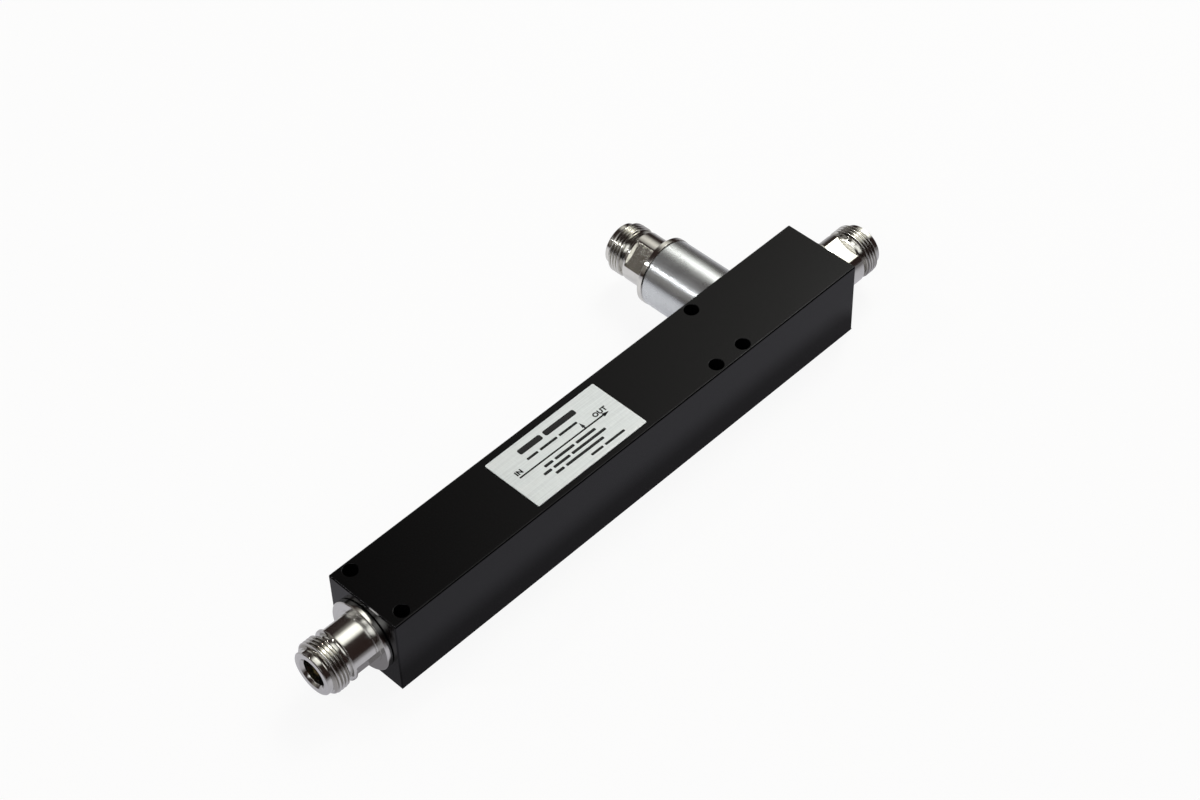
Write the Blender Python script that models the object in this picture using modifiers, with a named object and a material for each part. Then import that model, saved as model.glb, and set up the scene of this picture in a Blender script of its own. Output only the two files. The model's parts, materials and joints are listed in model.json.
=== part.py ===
"""Coaxial tapper: a square black bar with a stepped air line inside, an input and an output jack
on its ends, and a tap jack on a turned barrel at its side.

Metres, +Z up. The bar lies along X, input end at -X, tap at +Y. The origin is the centre of the
bar's bottom face. Each jack is drawn once, with its own axis along local +Z, out of the face that
it is mounted on, and is then carried by an empty at each of the three ports.
"""

import math

import bmesh
import bpy
from mathutils import Matrix

# Clearances
FIT_GAP = 0.00015
SEAT_GAP = 0.00002

# Housing bar
BAR_LENGTH = 0.178
BAR_WIDTH = 0.0254
BAR_HEIGHT = 0.0254
BAR_EDGE_BREAK = 0.0003
LINE_BORE_R = 0.0065

# Screw holes, straight through the bar from top to bottom
SCREW_HOLE_R = 0.00212
SCREW_HOLE_SIDE_INSET = 0.003
SCREW_HOLE_IN_INSET = 0.00512
SCREW_HOLE_OUT_INSET = 0.0445
SCREW_HOLE_ODD_STEP = 0.0107

# Label plate on the bar's top
LABEL_LENGTH = 0.041
LABEL_WIDTH = 0.0205
LABEL_THICKNESS = 0.0003
LABEL_CORNER_R = 0.0004
LABEL_OFFSET = -0.01525
LABEL_SIDE_OFFSET = -0.00035

# Jack shell, from its flange outwards
FLANGE_R = 0.0107
FLANGE_THICKNESS = 0.0019
BOSS_HEIGHT = 0.00075
BOSS_STEP = 0.00022
COLLAR_LENGTH = 0.00795
COLLAR_CHAMFER = 0.0004
COLLAR_STEP = 0.00006
FLAT_DEPTH = 0.0012
FLAT_LEDGE = 0.0001
FLAT_RIM = 0.001
UNDERCUT_LENGTH = 0.0013
UNDERCUT_STEP = 0.0001
THREAD_R = 0.0079375
THREAD_LENGTH = 0.0049
THREAD_BACK_CHAMFER = 0.0006
THREAD_FRONT_CHAMFER = 0.0009
NOSE_STEP = 0.0012875
NOSE_LENGTH = 0.0017
EDGE_BREAK = 0.00025

# Jack shell, inside
SOCKET_R = 0.004065
SOCKET_DEPTH = 0.0091
MOUTH_FLARE = 0.00073
MOUTH_DEPTH = 0.0009
LIP_WIDTH = 0.000565
LIP_THICKNESS = 0.0008
SHELL_WALL = 0.0016

# Spigots, which hold the jacks in the bar and the barrel, and the barrel in the bar
SPIGOT_LENGTH = 0.0065
SPIGOT_WALL = 0.00135
BARREL_SPIGOT_LENGTH = 0.0055
BARREL_SPIGOT_WALL = 0.0009
BARREL_SPIGOT_STEP = 0.0005

# Seal rings behind the flanges
SEAL_SECTION_R = 0.00045
SEAL_LAND = 0.0007

# Centre contact, insulator and its retaining ring
CONTACT_R = 0.00152
CONTACT_RECESS = 0.0044
CONTACT_PIN_R = 0.00083
CONTACT_PIN_DEPTH = 0.005
CONTACT_SLOT_WIDTH = 0.0003
CONTACT_SLOT_LENGTH = 0.0041
CONTACT_WAIST_STEP = 0.0004
CONTACT_EDGE_BREAK = 0.0002
CONTACT_TAIL_LENGTH = 0.005
RING_THICKNESS = 0.0018
RING_WALL = 0.0016
RING_SETBACK = 0.0002

# Tap barrel
TAP_AXIS_INSET = 0.02925
BARREL_R = 0.01055
BARREL_LENGTH = 0.021
BARREL_FLOOR = 0.002

# Inner conductors: impedances set each section's radius from the bore round it
PORT_OHMS = 50.0
LINE_OHMS = (47.0, 43.0, 39.0)
LINE_LEAD = 0.01025
JUNCTION_OVERHANG = 0.0055
TAP_INNER_OHMS = 100.0
TAP_MIDDLE_OHMS = 75.0
ROD_END_SETBACK = 0.0008
ROD_SOCKET_SPARE = 0.0006
AIR_OHMS_PER_FOLD = 60.0
STUD_R = 0.0009
STUD_LENGTH = 0.0018
SHOULDER_R = 0.0017
SHOULDER_HEIGHT = 0.0012
SHOULDER_LAND = 0.0002

# Support beads: the one in the middle of each of the line rod's sections, from the input on
SECTION_BEADS = ("line_bead_in", None, "line_bead_out")
BEAD_WIDTH = 0.003
BEAD_GROOVE_DEPTH = 0.0006
BEAD_SLIT = 0.0008

# Steps round a full turn
SHELL_STEPS = 36
INNER_STEPS = 20
CONTACT_STEPS = 16
SEAL_STEPS = 24
SEAL_SECTION_STEPS = 6
SMOOTH_ANGLE = math.radians(30)

# The wrench flats' turn about each jack's own axis, from straight up
IN_FLAT_TURN = math.radians(66)
OUT_FLAT_TURN = math.radians(15.2)
TAP_FLAT_TURN = math.radians(-43.2)

# Worked out: places along the bar and across it
AXIS_HEIGHT = BAR_HEIGHT / 2
BAR_END = BAR_LENGTH / 2
BAR_SIDE = BAR_WIDTH / 2
TAP_X = BAR_END - TAP_AXIS_INSET

# Worked out: heights along a jack's axis
BOSS_TOP = FLANGE_THICKNESS + BOSS_HEIGHT
COLLAR_TOP = BOSS_TOP + COLLAR_LENGTH
FLAT_TOP = COLLAR_TOP - FLAT_RIM
THREAD_BOTTOM = COLLAR_TOP + UNDERCUT_LENGTH
THREAD_TOP = THREAD_BOTTOM + THREAD_LENGTH
JACK_FACE = THREAD_TOP + NOSE_LENGTH
LIP_TOP = JACK_FACE - SOCKET_DEPTH
LIP_BOTTOM = LIP_TOP - LIP_THICKNESS
CONTACT_TIP = JACK_FACE - CONTACT_RECESS
RING_TOP = RING_SETBACK + RING_THICKNESS

# Worked out: radii
COLLAR_R = THREAD_R - COLLAR_STEP
BOSS_R = COLLAR_R + BOSS_STEP
FLAT_R = COLLAR_R - FLAT_DEPTH
UNDERCUT_R = FLAT_R - UNDERCUT_STEP
NOSE_R = THREAD_R - NOSE_STEP
MOUTH_R = SOCKET_R + MOUTH_FLARE
LIP_R = SOCKET_R - LIP_WIDTH
POCKET_R = UNDERCUT_R - SHELL_WALL
SPIGOT_R = LINE_BORE_R - FIT_GAP
SPIGOT_BORE_R = SPIGOT_R - SPIGOT_WALL
BARREL_SPIGOT_R = SPIGOT_R - BARREL_SPIGOT_STEP
BARREL_SPIGOT_BORE_R = BARREL_SPIGOT_R - BARREL_SPIGOT_WALL
SEAL_R = SPIGOT_R + SEAL_LAND + SEAL_SECTION_R + FIT_GAP
SEAL_GROOVE_HALF = SEAL_SECTION_R + FIT_GAP
SEAL_GROOVE_DEPTH = 2 * SEAL_SECTION_R + FIT_GAP
CONTACT_WAIST_R = CONTACT_R - CONTACT_WAIST_STEP
TAIL_SOCKET_R = CONTACT_WAIST_R + FIT_GAP
TAIL_SOCKET_DEPTH = CONTACT_TAIL_LENGTH - ROD_END_SETBACK + ROD_SOCKET_SPARE

# A cutter reaches this far past what it cuts
OVERCUT = 0.001


def clear_scene():
    for old in list(bpy.data.objects):
        bpy.data.objects.remove(old, do_unlink=True)


def make_material(name, colour, metallic, roughness):
    material = bpy.data.materials.new(name)
    material.use_nodes = True
    shader = material.node_tree.nodes["Principled BSDF"]
    shader.inputs["Base Color"].default_value = (*colour, 1.0)
    shader.inputs["Metallic"].default_value = metallic
    shader.inputs["Roughness"].default_value = roughness
    material.diffuse_color = (*colour, 1.0)
    return material


def smooth_by_angle_tree():
    """A node tree that keeps every edge sharper than SMOOTH_ANGLE sharp."""
    tree = bpy.data.node_groups.new("smooth_by_angle", "GeometryNodeTree")
    tree.interface.new_socket("Geometry", in_out="INPUT", socket_type="NodeSocketGeometry")
    tree.interface.new_socket("Geometry", in_out="OUTPUT", socket_type="NodeSocketGeometry")
    source = tree.nodes.new("NodeGroupInput")
    result = tree.nodes.new("NodeGroupOutput")
    angle = tree.nodes.new("GeometryNodeInputMeshEdgeAngle")
    sharper = tree.nodes.new("FunctionNodeCompare")
    sharper.data_type = "FLOAT"
    sharper.operation = "GREATER_THAN"
    sharper.inputs["B"].default_value = SMOOTH_ANGLE
    faces = tree.nodes.new("GeometryNodeSetShadeSmooth")
    edges = tree.nodes.new("GeometryNodeSetShadeSmooth")
    edges.domain = "EDGE"
    edges.inputs["Shade Smooth"].default_value = False
    tree.links.new(source.outputs["Geometry"], faces.inputs["Geometry"])
    tree.links.new(faces.outputs["Geometry"], edges.inputs["Geometry"])
    tree.links.new(angle.outputs["Unsigned Angle"], sharper.inputs["A"])
    tree.links.new(sharper.outputs["Result"], edges.inputs["Selection"])
    tree.links.new(edges.outputs["Geometry"], result.inputs["Geometry"])
    return tree


def add_object(name, mesh, material=None, parent=None, collection=None):
    obj = bpy.data.objects.new(name, mesh)
    (collection or PARTS).objects.link(obj)
    obj.parent = parent
    if material:
        mesh.materials.append(material)
    return obj


def mesh_from(shape, name):
    mesh = bpy.data.meshes.new(name)
    shape.to_mesh(mesh)
    shape.free()
    return mesh


def box_mesh(name, low, high):
    size = [b - a for a, b in zip(low, high)]
    middle = [(a + b) / 2 for a, b in zip(low, high)]
    shape = bmesh.new()
    place = Matrix.Translation(middle) @ Matrix.Diagonal((*size, 1.0))
    bmesh.ops.create_cube(shape, size=1.0, matrix=place)
    return mesh_from(shape, name)


def rod_mesh(name, radius, low, high, steps):
    """A plain cylinder along local +Z from low to high."""
    shape = bmesh.new()
    bmesh.ops.create_cone(
        shape,
        cap_ends=True,
        segments=steps,
        radius1=radius,
        radius2=radius,
        depth=high - low,
        matrix=Matrix.Translation((0, 0, (low + high) / 2)),
    )
    return mesh_from(shape, name)


def turned(name, outline, material, parent, steps, ring=True):
    """A turned piece: the outline's (radius, height) points go down the outside and, on a
    ring, back up the inside. A solid piece's outline starts and ends on the axis."""
    count = len(outline)
    edges = [(i, i + 1) for i in range(count - 1)]
    if ring:
        edges.append((count - 1, 0))
    mesh = bpy.data.meshes.new(name)
    mesh.from_pydata([(radius, 0.0, height) for radius, height in outline], edges, [])
    obj = add_object(name, mesh, material, parent)
    turn = obj.modifiers.new("turn", "SCREW")
    turn.axis = "Z"
    turn.angle = 2 * math.pi
    turn.steps = steps
    turn.render_steps = steps
    turn.use_merge_vertices = True
    turn.merge_threshold = 0.000001
    return obj


def cutter(name, mesh, parent=None):
    obj = add_object(name, mesh, None, parent, CUTTERS)
    obj.hide_render = True
    obj.display_type = "WIRE"
    return obj


def cut(obj, tool):
    modifier = obj.modifiers.new("cut " + tool.name, "BOOLEAN")
    modifier.operation = "DIFFERENCE"
    modifier.solver = "EXACT"
    modifier.object = tool


def smooth(obj):
    modifier = obj.modifiers.new("smooth", "NODES")
    modifier.node_group = SMOOTH_TREE


def conductor_radius(bore_radius, ohms):
    """The radius of an air line's inner conductor, from its bore and impedance."""
    return bore_radius * math.exp(-ohms / AIR_OHMS_PER_FOLD)


def add_port(name, location, outwards):
    """An empty at a mounting face: local +Z points out, local +X points up."""
    up = (0.0, 0.0, 1.0)
    x, y, z = outwards
    across = (y, -x, 0.0)
    port = bpy.data.objects.new(name, None)
    PARTS.objects.link(port)
    port.matrix_world = Matrix.Translation(location) @ Matrix(
        (
            (up[0], across[0], x, 0.0),
            (up[1], across[1], y, 0.0),
            (up[2], across[2], z, 0.0),
            (0.0, 0.0, 0.0, 1.0),
        )
    )
    return port


def make_housing():
    bar = add_object(
        "housing",
        box_mesh("housing", (-BAR_END, -BAR_SIDE, 0.0), (BAR_END, BAR_SIDE, BAR_HEIGHT)),
        FINISH["black_anodised"],
    )
    edge = bar.modifiers.new("edge break", "BEVEL")
    edge.width = BAR_EDGE_BREAK
    edge.segments = 2

    line_bore = cutter(
        "line_bore",
        rod_mesh("line_bore", LINE_BORE_R, -BAR_END - OVERCUT, BAR_END + OVERCUT, SHELL_STEPS),
    )
    line_bore.location = (0.0, 0.0, AXIS_HEIGHT)
    line_bore.rotation_euler = (0.0, math.pi / 2, 0.0)
    cut(bar, line_bore)

    tap_bore_r = BARREL_SPIGOT_R + FIT_GAP
    tap_bore = cutter(
        "tap_bore", rod_mesh("tap_bore", tap_bore_r, 0.0, BAR_SIDE + OVERCUT, SHELL_STEPS)
    )
    tap_bore.location = (TAP_X, 0.0, AXIS_HEIGHT)
    tap_bore.rotation_euler = (-math.pi / 2, 0.0, 0.0)
    cut(bar, tap_bore)

    side = BAR_SIDE - SCREW_HOLE_SIDE_INSET
    in_hole_x = -BAR_END + SCREW_HOLE_IN_INSET
    out_hole_x = BAR_END - SCREW_HOLE_OUT_INSET
    odd_hole_x = out_hole_x - SCREW_HOLE_ODD_STEP
    places = (
        (in_hole_x, side),
        (in_hole_x, -side),
        (out_hole_x, side),
        (out_hole_x, -side),
        (odd_hole_x, -side),
    )
    for number, (x, y) in enumerate(places, 1):
        name = f"screw_hole_{number}"
        mesh = rod_mesh(name, SCREW_HOLE_R, -OVERCUT, BAR_HEIGHT + OVERCUT, INNER_STEPS)
        hole = cutter(name, mesh)
        hole.location = (x, y, 0.0)
        cut(bar, hole)
    return bar


def make_label():
    bottom = BAR_HEIGHT + SEAT_GAP
    near_side = LABEL_SIDE_OFFSET - LABEL_WIDTH / 2
    far_side = LABEL_SIDE_OFFSET + LABEL_WIDTH / 2
    low = (LABEL_OFFSET - LABEL_LENGTH / 2, near_side, bottom)
    high = (LABEL_OFFSET + LABEL_LENGTH / 2, far_side, bottom + LABEL_THICKNESS)
    mesh = box_mesh("label_plate", low, high)
    shape = bmesh.new()
    shape.from_mesh(mesh)
    upright = [e for e in shape.edges if abs(e.verts[0].co.z - e.verts[1].co.z) > LABEL_THICKNESS / 2]
    bmesh.ops.bevel(
        shape, geom=upright, offset=LABEL_CORNER_R, segments=3, profile=0.5, affect="EDGES"
    )
    shape.to_mesh(mesh)
    shape.free()
    return add_object("label_plate", mesh, FINISH["brushed_foil"])


def spigot_outline(radius, length):
    """The outside of a spigot that reaches down from height zero."""
    return [(radius, 0.0), (radius, EDGE_BREAK - length), (radius - EDGE_BREAK, -length)]


def seal_groove_outline():
    """The groove for a seal ring in a face at height zero, from its outer wall inwards."""
    outer = SEAL_R + SEAL_GROOVE_HALF
    inner = SEAL_R - SEAL_GROOVE_HALF
    return [(outer, 0.0), (outer, SEAL_GROOVE_DEPTH), (inner, SEAL_GROOVE_DEPTH), (inner, 0.0)]


def shell_outline():
    outside = [
        (NOSE_R - EDGE_BREAK, JACK_FACE),
        (NOSE_R, JACK_FACE - EDGE_BREAK),
        (NOSE_R, THREAD_TOP),
        (THREAD_R, THREAD_TOP - THREAD_FRONT_CHAMFER),
        (THREAD_R, THREAD_BOTTOM + THREAD_BACK_CHAMFER),
        (THREAD_R - THREAD_BACK_CHAMFER, THREAD_BOTTOM),
        (UNDERCUT_R, THREAD_BOTTOM),
        (UNDERCUT_R, COLLAR_TOP),
        (COLLAR_R - COLLAR_CHAMFER, COLLAR_TOP),
        (COLLAR_R, COLLAR_TOP - COLLAR_CHAMFER),
        (COLLAR_R, BOSS_TOP + BOSS_STEP),
        (BOSS_R, BOSS_TOP),
        (BOSS_R, FLANGE_THICKNESS),
        (FLANGE_R - EDGE_BREAK, FLANGE_THICKNESS),
        (FLANGE_R, FLANGE_THICKNESS - EDGE_BREAK),
        (FLANGE_R, EDGE_BREAK),
        (FLANGE_R - EDGE_BREAK, 0.0),
    ]
    inside = [
        (SPIGOT_BORE_R, -SPIGOT_LENGTH),
        (SPIGOT_BORE_R, 0.0),
        (POCKET_R, RING_SETBACK / 2),
        (POCKET_R, LIP_BOTTOM),
        (LIP_R, LIP_BOTTOM),
        (LIP_R, LIP_TOP),
        (SOCKET_R, LIP_TOP),
        (SOCKET_R, JACK_FACE - MOUTH_DEPTH),
        (MOUTH_R, JACK_FACE),
    ]
    return outside + seal_groove_outline() + spigot_outline(SPIGOT_R, SPIGOT_LENGTH) + inside


def make_shell(prefix, port, flat_turn):
    shell = turned(prefix + "_jack_shell", shell_outline(), FINISH["nickel"], port, SHELL_STEPS)
    name = prefix + "_wrench_flats"
    reach = BOSS_R + OVERCUT
    low = (FLAT_R, -reach, FLANGE_THICKNESS + FLAT_LEDGE)
    high = (reach, reach, FLAT_TOP)
    flats = cutter(name, box_mesh(name, low, high), port)
    flats.rotation_euler = (0.0, 0.0, flat_turn)
    pair = flats.modifiers.new("second flat", "MIRROR")
    pair.merge_threshold = 0.00001
    cut(shell, flats)
    return shell


def make_insulator(prefix, port):
    """The bead between shell and contact: its nose fills the lip, its body the pocket."""
    bottom = RING_TOP + SEAT_GAP
    hole = CONTACT_WAIST_R + FIT_GAP
    shoulder = LIP_BOTTOM - SEAT_GAP
    outline = [
        (LIP_R - FIT_GAP, LIP_TOP),
        (LIP_R - FIT_GAP, shoulder),
        (POCKET_R - FIT_GAP, shoulder),
        (POCKET_R - FIT_GAP, bottom),
        (hole, bottom),
        (hole, LIP_TOP),
    ]
    return turned(prefix + "_jack_insulator", outline, FINISH["ptfe"], port, INNER_STEPS)


def make_insulator_ring(prefix, port):
    outer = POCKET_R - FIT_GAP
    inner = outer - RING_WALL
    outline = [
        (outer, RING_TOP),
        (outer, RING_SETBACK),
        (inner, RING_SETBACK),
        (inner, RING_TOP),
    ]
    return turned(prefix + "_insulator_ring", outline, FINISH["brass"], port, INNER_STEPS)


def make_contact(prefix, port):
    """The slotted socket contact, whose waist runs through the insulator to its tail."""
    tail = -CONTACT_TAIL_LENGTH
    floor = CONTACT_TIP - CONTACT_PIN_DEPTH
    shoulder = LIP_TOP + SEAT_GAP
    outline = [
        (0.0, floor),
        (CONTACT_PIN_R, floor),
        (CONTACT_PIN_R, CONTACT_TIP - CONTACT_EDGE_BREAK),
        (CONTACT_PIN_R + CONTACT_EDGE_BREAK, CONTACT_TIP),
        (CONTACT_R - CONTACT_EDGE_BREAK, CONTACT_TIP),
        (CONTACT_R, CONTACT_TIP - CONTACT_EDGE_BREAK),
        (CONTACT_R, shoulder),
        (CONTACT_WAIST_R, shoulder),
        (CONTACT_WAIST_R, tail + CONTACT_EDGE_BREAK),
        (CONTACT_WAIST_R - CONTACT_EDGE_BREAK, tail),
        (0.0, tail),
    ]
    name = prefix + "_centre_contact"
    contact = turned(name, outline, FINISH["gilt"], port, CONTACT_STEPS, ring=False)
    reach = CONTACT_R + OVERCUT
    half = CONTACT_SLOT_WIDTH / 2
    bottom = CONTACT_TIP - CONTACT_SLOT_LENGTH
    top = CONTACT_TIP + OVERCUT
    for turn, slot_name in ((0.0, "_slot_a"), (math.pi / 2, "_slot_b")):
        tool_name = prefix + slot_name
        slot = cutter(tool_name, box_mesh(tool_name, (-reach, -half, bottom), (reach, half, top)), port)
        slot.rotation_euler = (0.0, 0.0, math.pi / CONTACT_STEPS + turn)
        cut(contact, slot)
    return contact


def make_seal(name, port):
    """A rubber ring of round section, lying in its groove and touching the mounting face."""
    outline = []
    for step in range(SEAL_SECTION_STEPS):
        angle = 2 * math.pi * step / SEAL_SECTION_STEPS
        radius = SEAL_R + SEAL_SECTION_R * math.sin(angle)
        outline.append((radius, SEAL_SECTION_R * (1 + math.cos(angle))))
    return turned(name, outline, FINISH["rubber"], port, SEAL_STEPS)


def make_jack(prefix, port, flat_turn):
    return [
        make_shell(prefix, port, flat_turn),
        make_insulator(prefix, port),
        make_insulator_ring(prefix, port),
        make_contact(prefix, port),
        make_seal(prefix + "_flange_seal", port),
    ]


def make_barrel(port):
    outside = [
        (BARREL_R - EDGE_BREAK, BARREL_LENGTH),
        (BARREL_R, BARREL_LENGTH - EDGE_BREAK),
        (BARREL_R, EDGE_BREAK),
        (BARREL_R - EDGE_BREAK, 0.0),
    ]
    inside = [
        (BARREL_SPIGOT_BORE_R, -BARREL_SPIGOT_LENGTH),
        (BARREL_SPIGOT_BORE_R, BARREL_FLOOR),
        (LINE_BORE_R, BARREL_FLOOR),
        (LINE_BORE_R, BARREL_LENGTH),
    ]
    spigot = spigot_outline(BARREL_SPIGOT_R, BARREL_SPIGOT_LENGTH)
    outline = outside + seal_groove_outline() + spigot + inside
    return turned("tap_barrel", outline, FINISH["turned_aluminium"], port, SHELL_STEPS)


def stepped_outline(start, sections):
    """Down the outside of a rod: each section is (height where it ends, radius), from the top."""
    outline = []
    height = start
    for end, radius in sections:
        outline.append((radius, height))
        outline.append((radius, end))
        height = end
    return outline


def tail_socket(mouth, downwards):
    """The blind hole that takes a contact's tail, from the axis out to the rod's end face."""
    floor = mouth - TAIL_SOCKET_DEPTH if downwards else mouth + TAIL_SOCKET_DEPTH
    points = [(0.0, floor), (TAIL_SOCKET_R, floor), (TAIL_SOCKET_R, mouth)]
    return points if downwards else points[::-1]


def line_layout():
    """Along X from the middle: where the spigots end, where each stepped section starts, how
    long a section is, and the sections' radii."""
    spigot_end = BAR_END - SPIGOT_LENGTH
    first_step = -spigot_end + LINE_LEAD
    section = (TAP_X - first_step) / len(LINE_OHMS)
    steps = [first_step + section * number for number in range(len(LINE_OHMS))]
    radii = [conductor_radius(LINE_BORE_R, ohms) for ohms in LINE_OHMS]
    return spigot_end, steps, section, radii


def make_line_rod(centre_line):
    """The rod through the bar, with a quarter-wave step to each section, grooves for the two
    beads, a flat and a cross hole for the tap rod, and a socket in each end."""
    spigot_end, steps, section, radii = line_layout()
    end = BAR_END - ROD_END_SETBACK
    end_r = conductor_radius(SPIGOT_BORE_R, PORT_OHMS)
    port_r = conductor_radius(LINE_BORE_R, PORT_OHMS)
    half_bead = BEAD_WIDTH / 2 + FIT_GAP
    sections = [(spigot_end, end_r), (TAP_X + JUNCTION_OVERHANG, port_r)]
    for number in reversed(range(len(steps))):
        radius = radii[number]
        middle = steps[number] + section / 2
        if SECTION_BEADS[number]:
            sections.append((middle + half_bead, radius))
            sections.append((middle - half_bead, radius - BEAD_GROOVE_DEPTH))
        sections.append((steps[number], radius))
    sections += [(-spigot_end, port_r), (-end, end_r)]
    outline = tail_socket(end, True) + stepped_outline(end, sections) + tail_socket(-end, False)
    rod = turned("line_rod", outline, FINISH["silver_plate"], centre_line, INNER_STEPS, ring=False)

    junction_r = radii[-1]
    flat = junction_flat(junction_r)
    name = "tap_seat_flat"
    low = (TAP_X - SHOULDER_R - SHOULDER_LAND, flat, AXIS_HEIGHT - junction_r)
    high = (TAP_X + SHOULDER_R + SHOULDER_LAND, junction_r + OVERCUT, AXIS_HEIGHT + junction_r)
    cut(rod, cutter(name, box_mesh(name, low, high)))
    name = "stud_hole"
    bottom = flat - STUD_LENGTH - FIT_GAP
    hole = cutter(name, rod_mesh(name, STUD_R + FIT_GAP, bottom, flat + OVERCUT, CONTACT_STEPS))
    hole.location = (TAP_X, 0.0, AXIS_HEIGHT)
    hole.rotation_euler = (-math.pi / 2, 0.0, 0.0)
    cut(rod, hole)
    return rod


def junction_flat(junction_r):
    """How far from the line's axis the flat lies that the tap rod's shoulder stands on."""
    return math.sqrt(junction_r**2 - (SHOULDER_R + SHOULDER_LAND) ** 2)


def make_tap_rod(tap_axis):
    """The tap's rod, screwed into the line rod: stud, shoulder, thin sections, port section."""
    junction_r = conductor_radius(LINE_BORE_R, LINE_OHMS[-1])
    flat = junction_flat(junction_r) + SEAT_GAP
    tap_face = BAR_SIDE + BARREL_LENGTH
    end = tap_face - ROD_END_SETBACK
    floor = BAR_SIDE + BARREL_FLOOR
    middle = (floor + tap_face - SPIGOT_LENGTH) / 2
    sections = [
        (tap_face - SPIGOT_LENGTH, conductor_radius(SPIGOT_BORE_R, PORT_OHMS)),
        (middle, conductor_radius(LINE_BORE_R, TAP_MIDDLE_OHMS)),
        (floor, conductor_radius(LINE_BORE_R, TAP_INNER_OHMS)),
        (flat + SHOULDER_HEIGHT, conductor_radius(BARREL_SPIGOT_BORE_R, TAP_INNER_OHMS)),
        (flat, SHOULDER_R),
        (flat - STUD_LENGTH, STUD_R),
    ]
    outline = tail_socket(end, True) + stepped_outline(end, sections) + [(0.0, flat - STUD_LENGTH)]
    return turned("tap_rod", outline, FINISH["silver_plate"], tap_axis, INNER_STEPS, ring=False)


def make_bead(name, number, centre_line):
    """A slit disc that snaps into the rod's groove and centres the rod in the bore."""
    _, steps, section, radii = line_layout()
    middle = steps[number] + section / 2
    outer = LINE_BORE_R - FIT_GAP
    inner = radii[number] - BEAD_GROOVE_DEPTH + FIT_GAP
    top = middle + BEAD_WIDTH / 2
    bottom = middle - BEAD_WIDTH / 2
    outline = [(outer, top), (outer, bottom), (inner, bottom), (inner, top)]
    bead = turned(name, outline, FINISH["ptfe"], centre_line, INNER_STEPS)
    tool_name = name + "_slit"
    low = (-LINE_BORE_R - OVERCUT, -BEAD_SLIT / 2, bottom - OVERCUT)
    high = (-inner / 2, BEAD_SLIT / 2, top + OVERCUT)
    cut(bead, cutter(tool_name, box_mesh(tool_name, low, high), centre_line))
    return bead


clear_scene()
PARTS = bpy.data.collections.new("coaxial_tapper")
CUTTERS = bpy.data.collections.new("cutters")
bpy.context.scene.collection.children.link(PARTS)
bpy.context.scene.collection.children.link(CUTTERS)
SMOOTH_TREE = smooth_by_angle_tree()

FINISH = {
    "black_anodised": make_material("black_anodised", (0.012, 0.012, 0.013), 0.0, 0.4),
    "brushed_foil": make_material("brushed_foil", (0.72, 0.74, 0.73), 0.8, 0.45),
    "nickel": make_material("nickel", (0.66, 0.63, 0.58), 1.0, 0.18),
    "turned_aluminium": make_material("turned_aluminium", (0.78, 0.79, 0.8), 1.0, 0.3),
    "ptfe": make_material("ptfe", (0.85, 0.85, 0.82), 0.0, 0.5),
    "brass": make_material("brass", (0.62, 0.48, 0.25), 1.0, 0.3),
    "gilt": make_material("gilt", (0.82, 0.66, 0.34), 1.0, 0.22),
    "silver_plate": make_material("silver_plate", (0.8, 0.79, 0.76), 1.0, 0.25),
    "rubber": make_material("rubber", (0.02, 0.02, 0.02), 0.0, 0.7),
}

in_port = add_port("in_port", (-BAR_END - SEAT_GAP, 0.0, AXIS_HEIGHT), (-1.0, 0.0, 0.0))
out_port = add_port("out_port", (BAR_END + SEAT_GAP, 0.0, AXIS_HEIGHT), (1.0, 0.0, 0.0))
side_port = add_port("side_port", (TAP_X, BAR_SIDE + SEAT_GAP, AXIS_HEIGHT), (0.0, 1.0, 0.0))
tap_face_y = BAR_SIDE + BARREL_LENGTH + 2 * SEAT_GAP
tap_port = add_port("tap_port", (TAP_X, tap_face_y, AXIS_HEIGHT), (0.0, 1.0, 0.0))
centre_line = add_port("centre_line", (0.0, 0.0, AXIS_HEIGHT), (1.0, 0.0, 0.0))
tap_axis = add_port("tap_axis", (TAP_X, 0.0, AXIS_HEIGHT), (0.0, 1.0, 0.0))

pieces = [make_housing(), make_label(), make_barrel(side_port)]
pieces.append(make_seal("tap_barrel_seal", side_port))
pieces += make_jack("in", in_port, IN_FLAT_TURN)
pieces += make_jack("out", out_port, OUT_FLAT_TURN)
pieces += make_jack("tap", tap_port, TAP_FLAT_TURN)
pieces += [make_line_rod(centre_line), make_tap_rod(tap_axis)]
for section_number, bead_name in enumerate(SECTION_BEADS):
    if bead_name:
        pieces.append(make_bead(bead_name, section_number, centre_line))
for piece in pieces:
    smooth(piece)
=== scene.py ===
import json
import math

import bmesh
import bpy
from mathutils import Matrix, Vector

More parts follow.
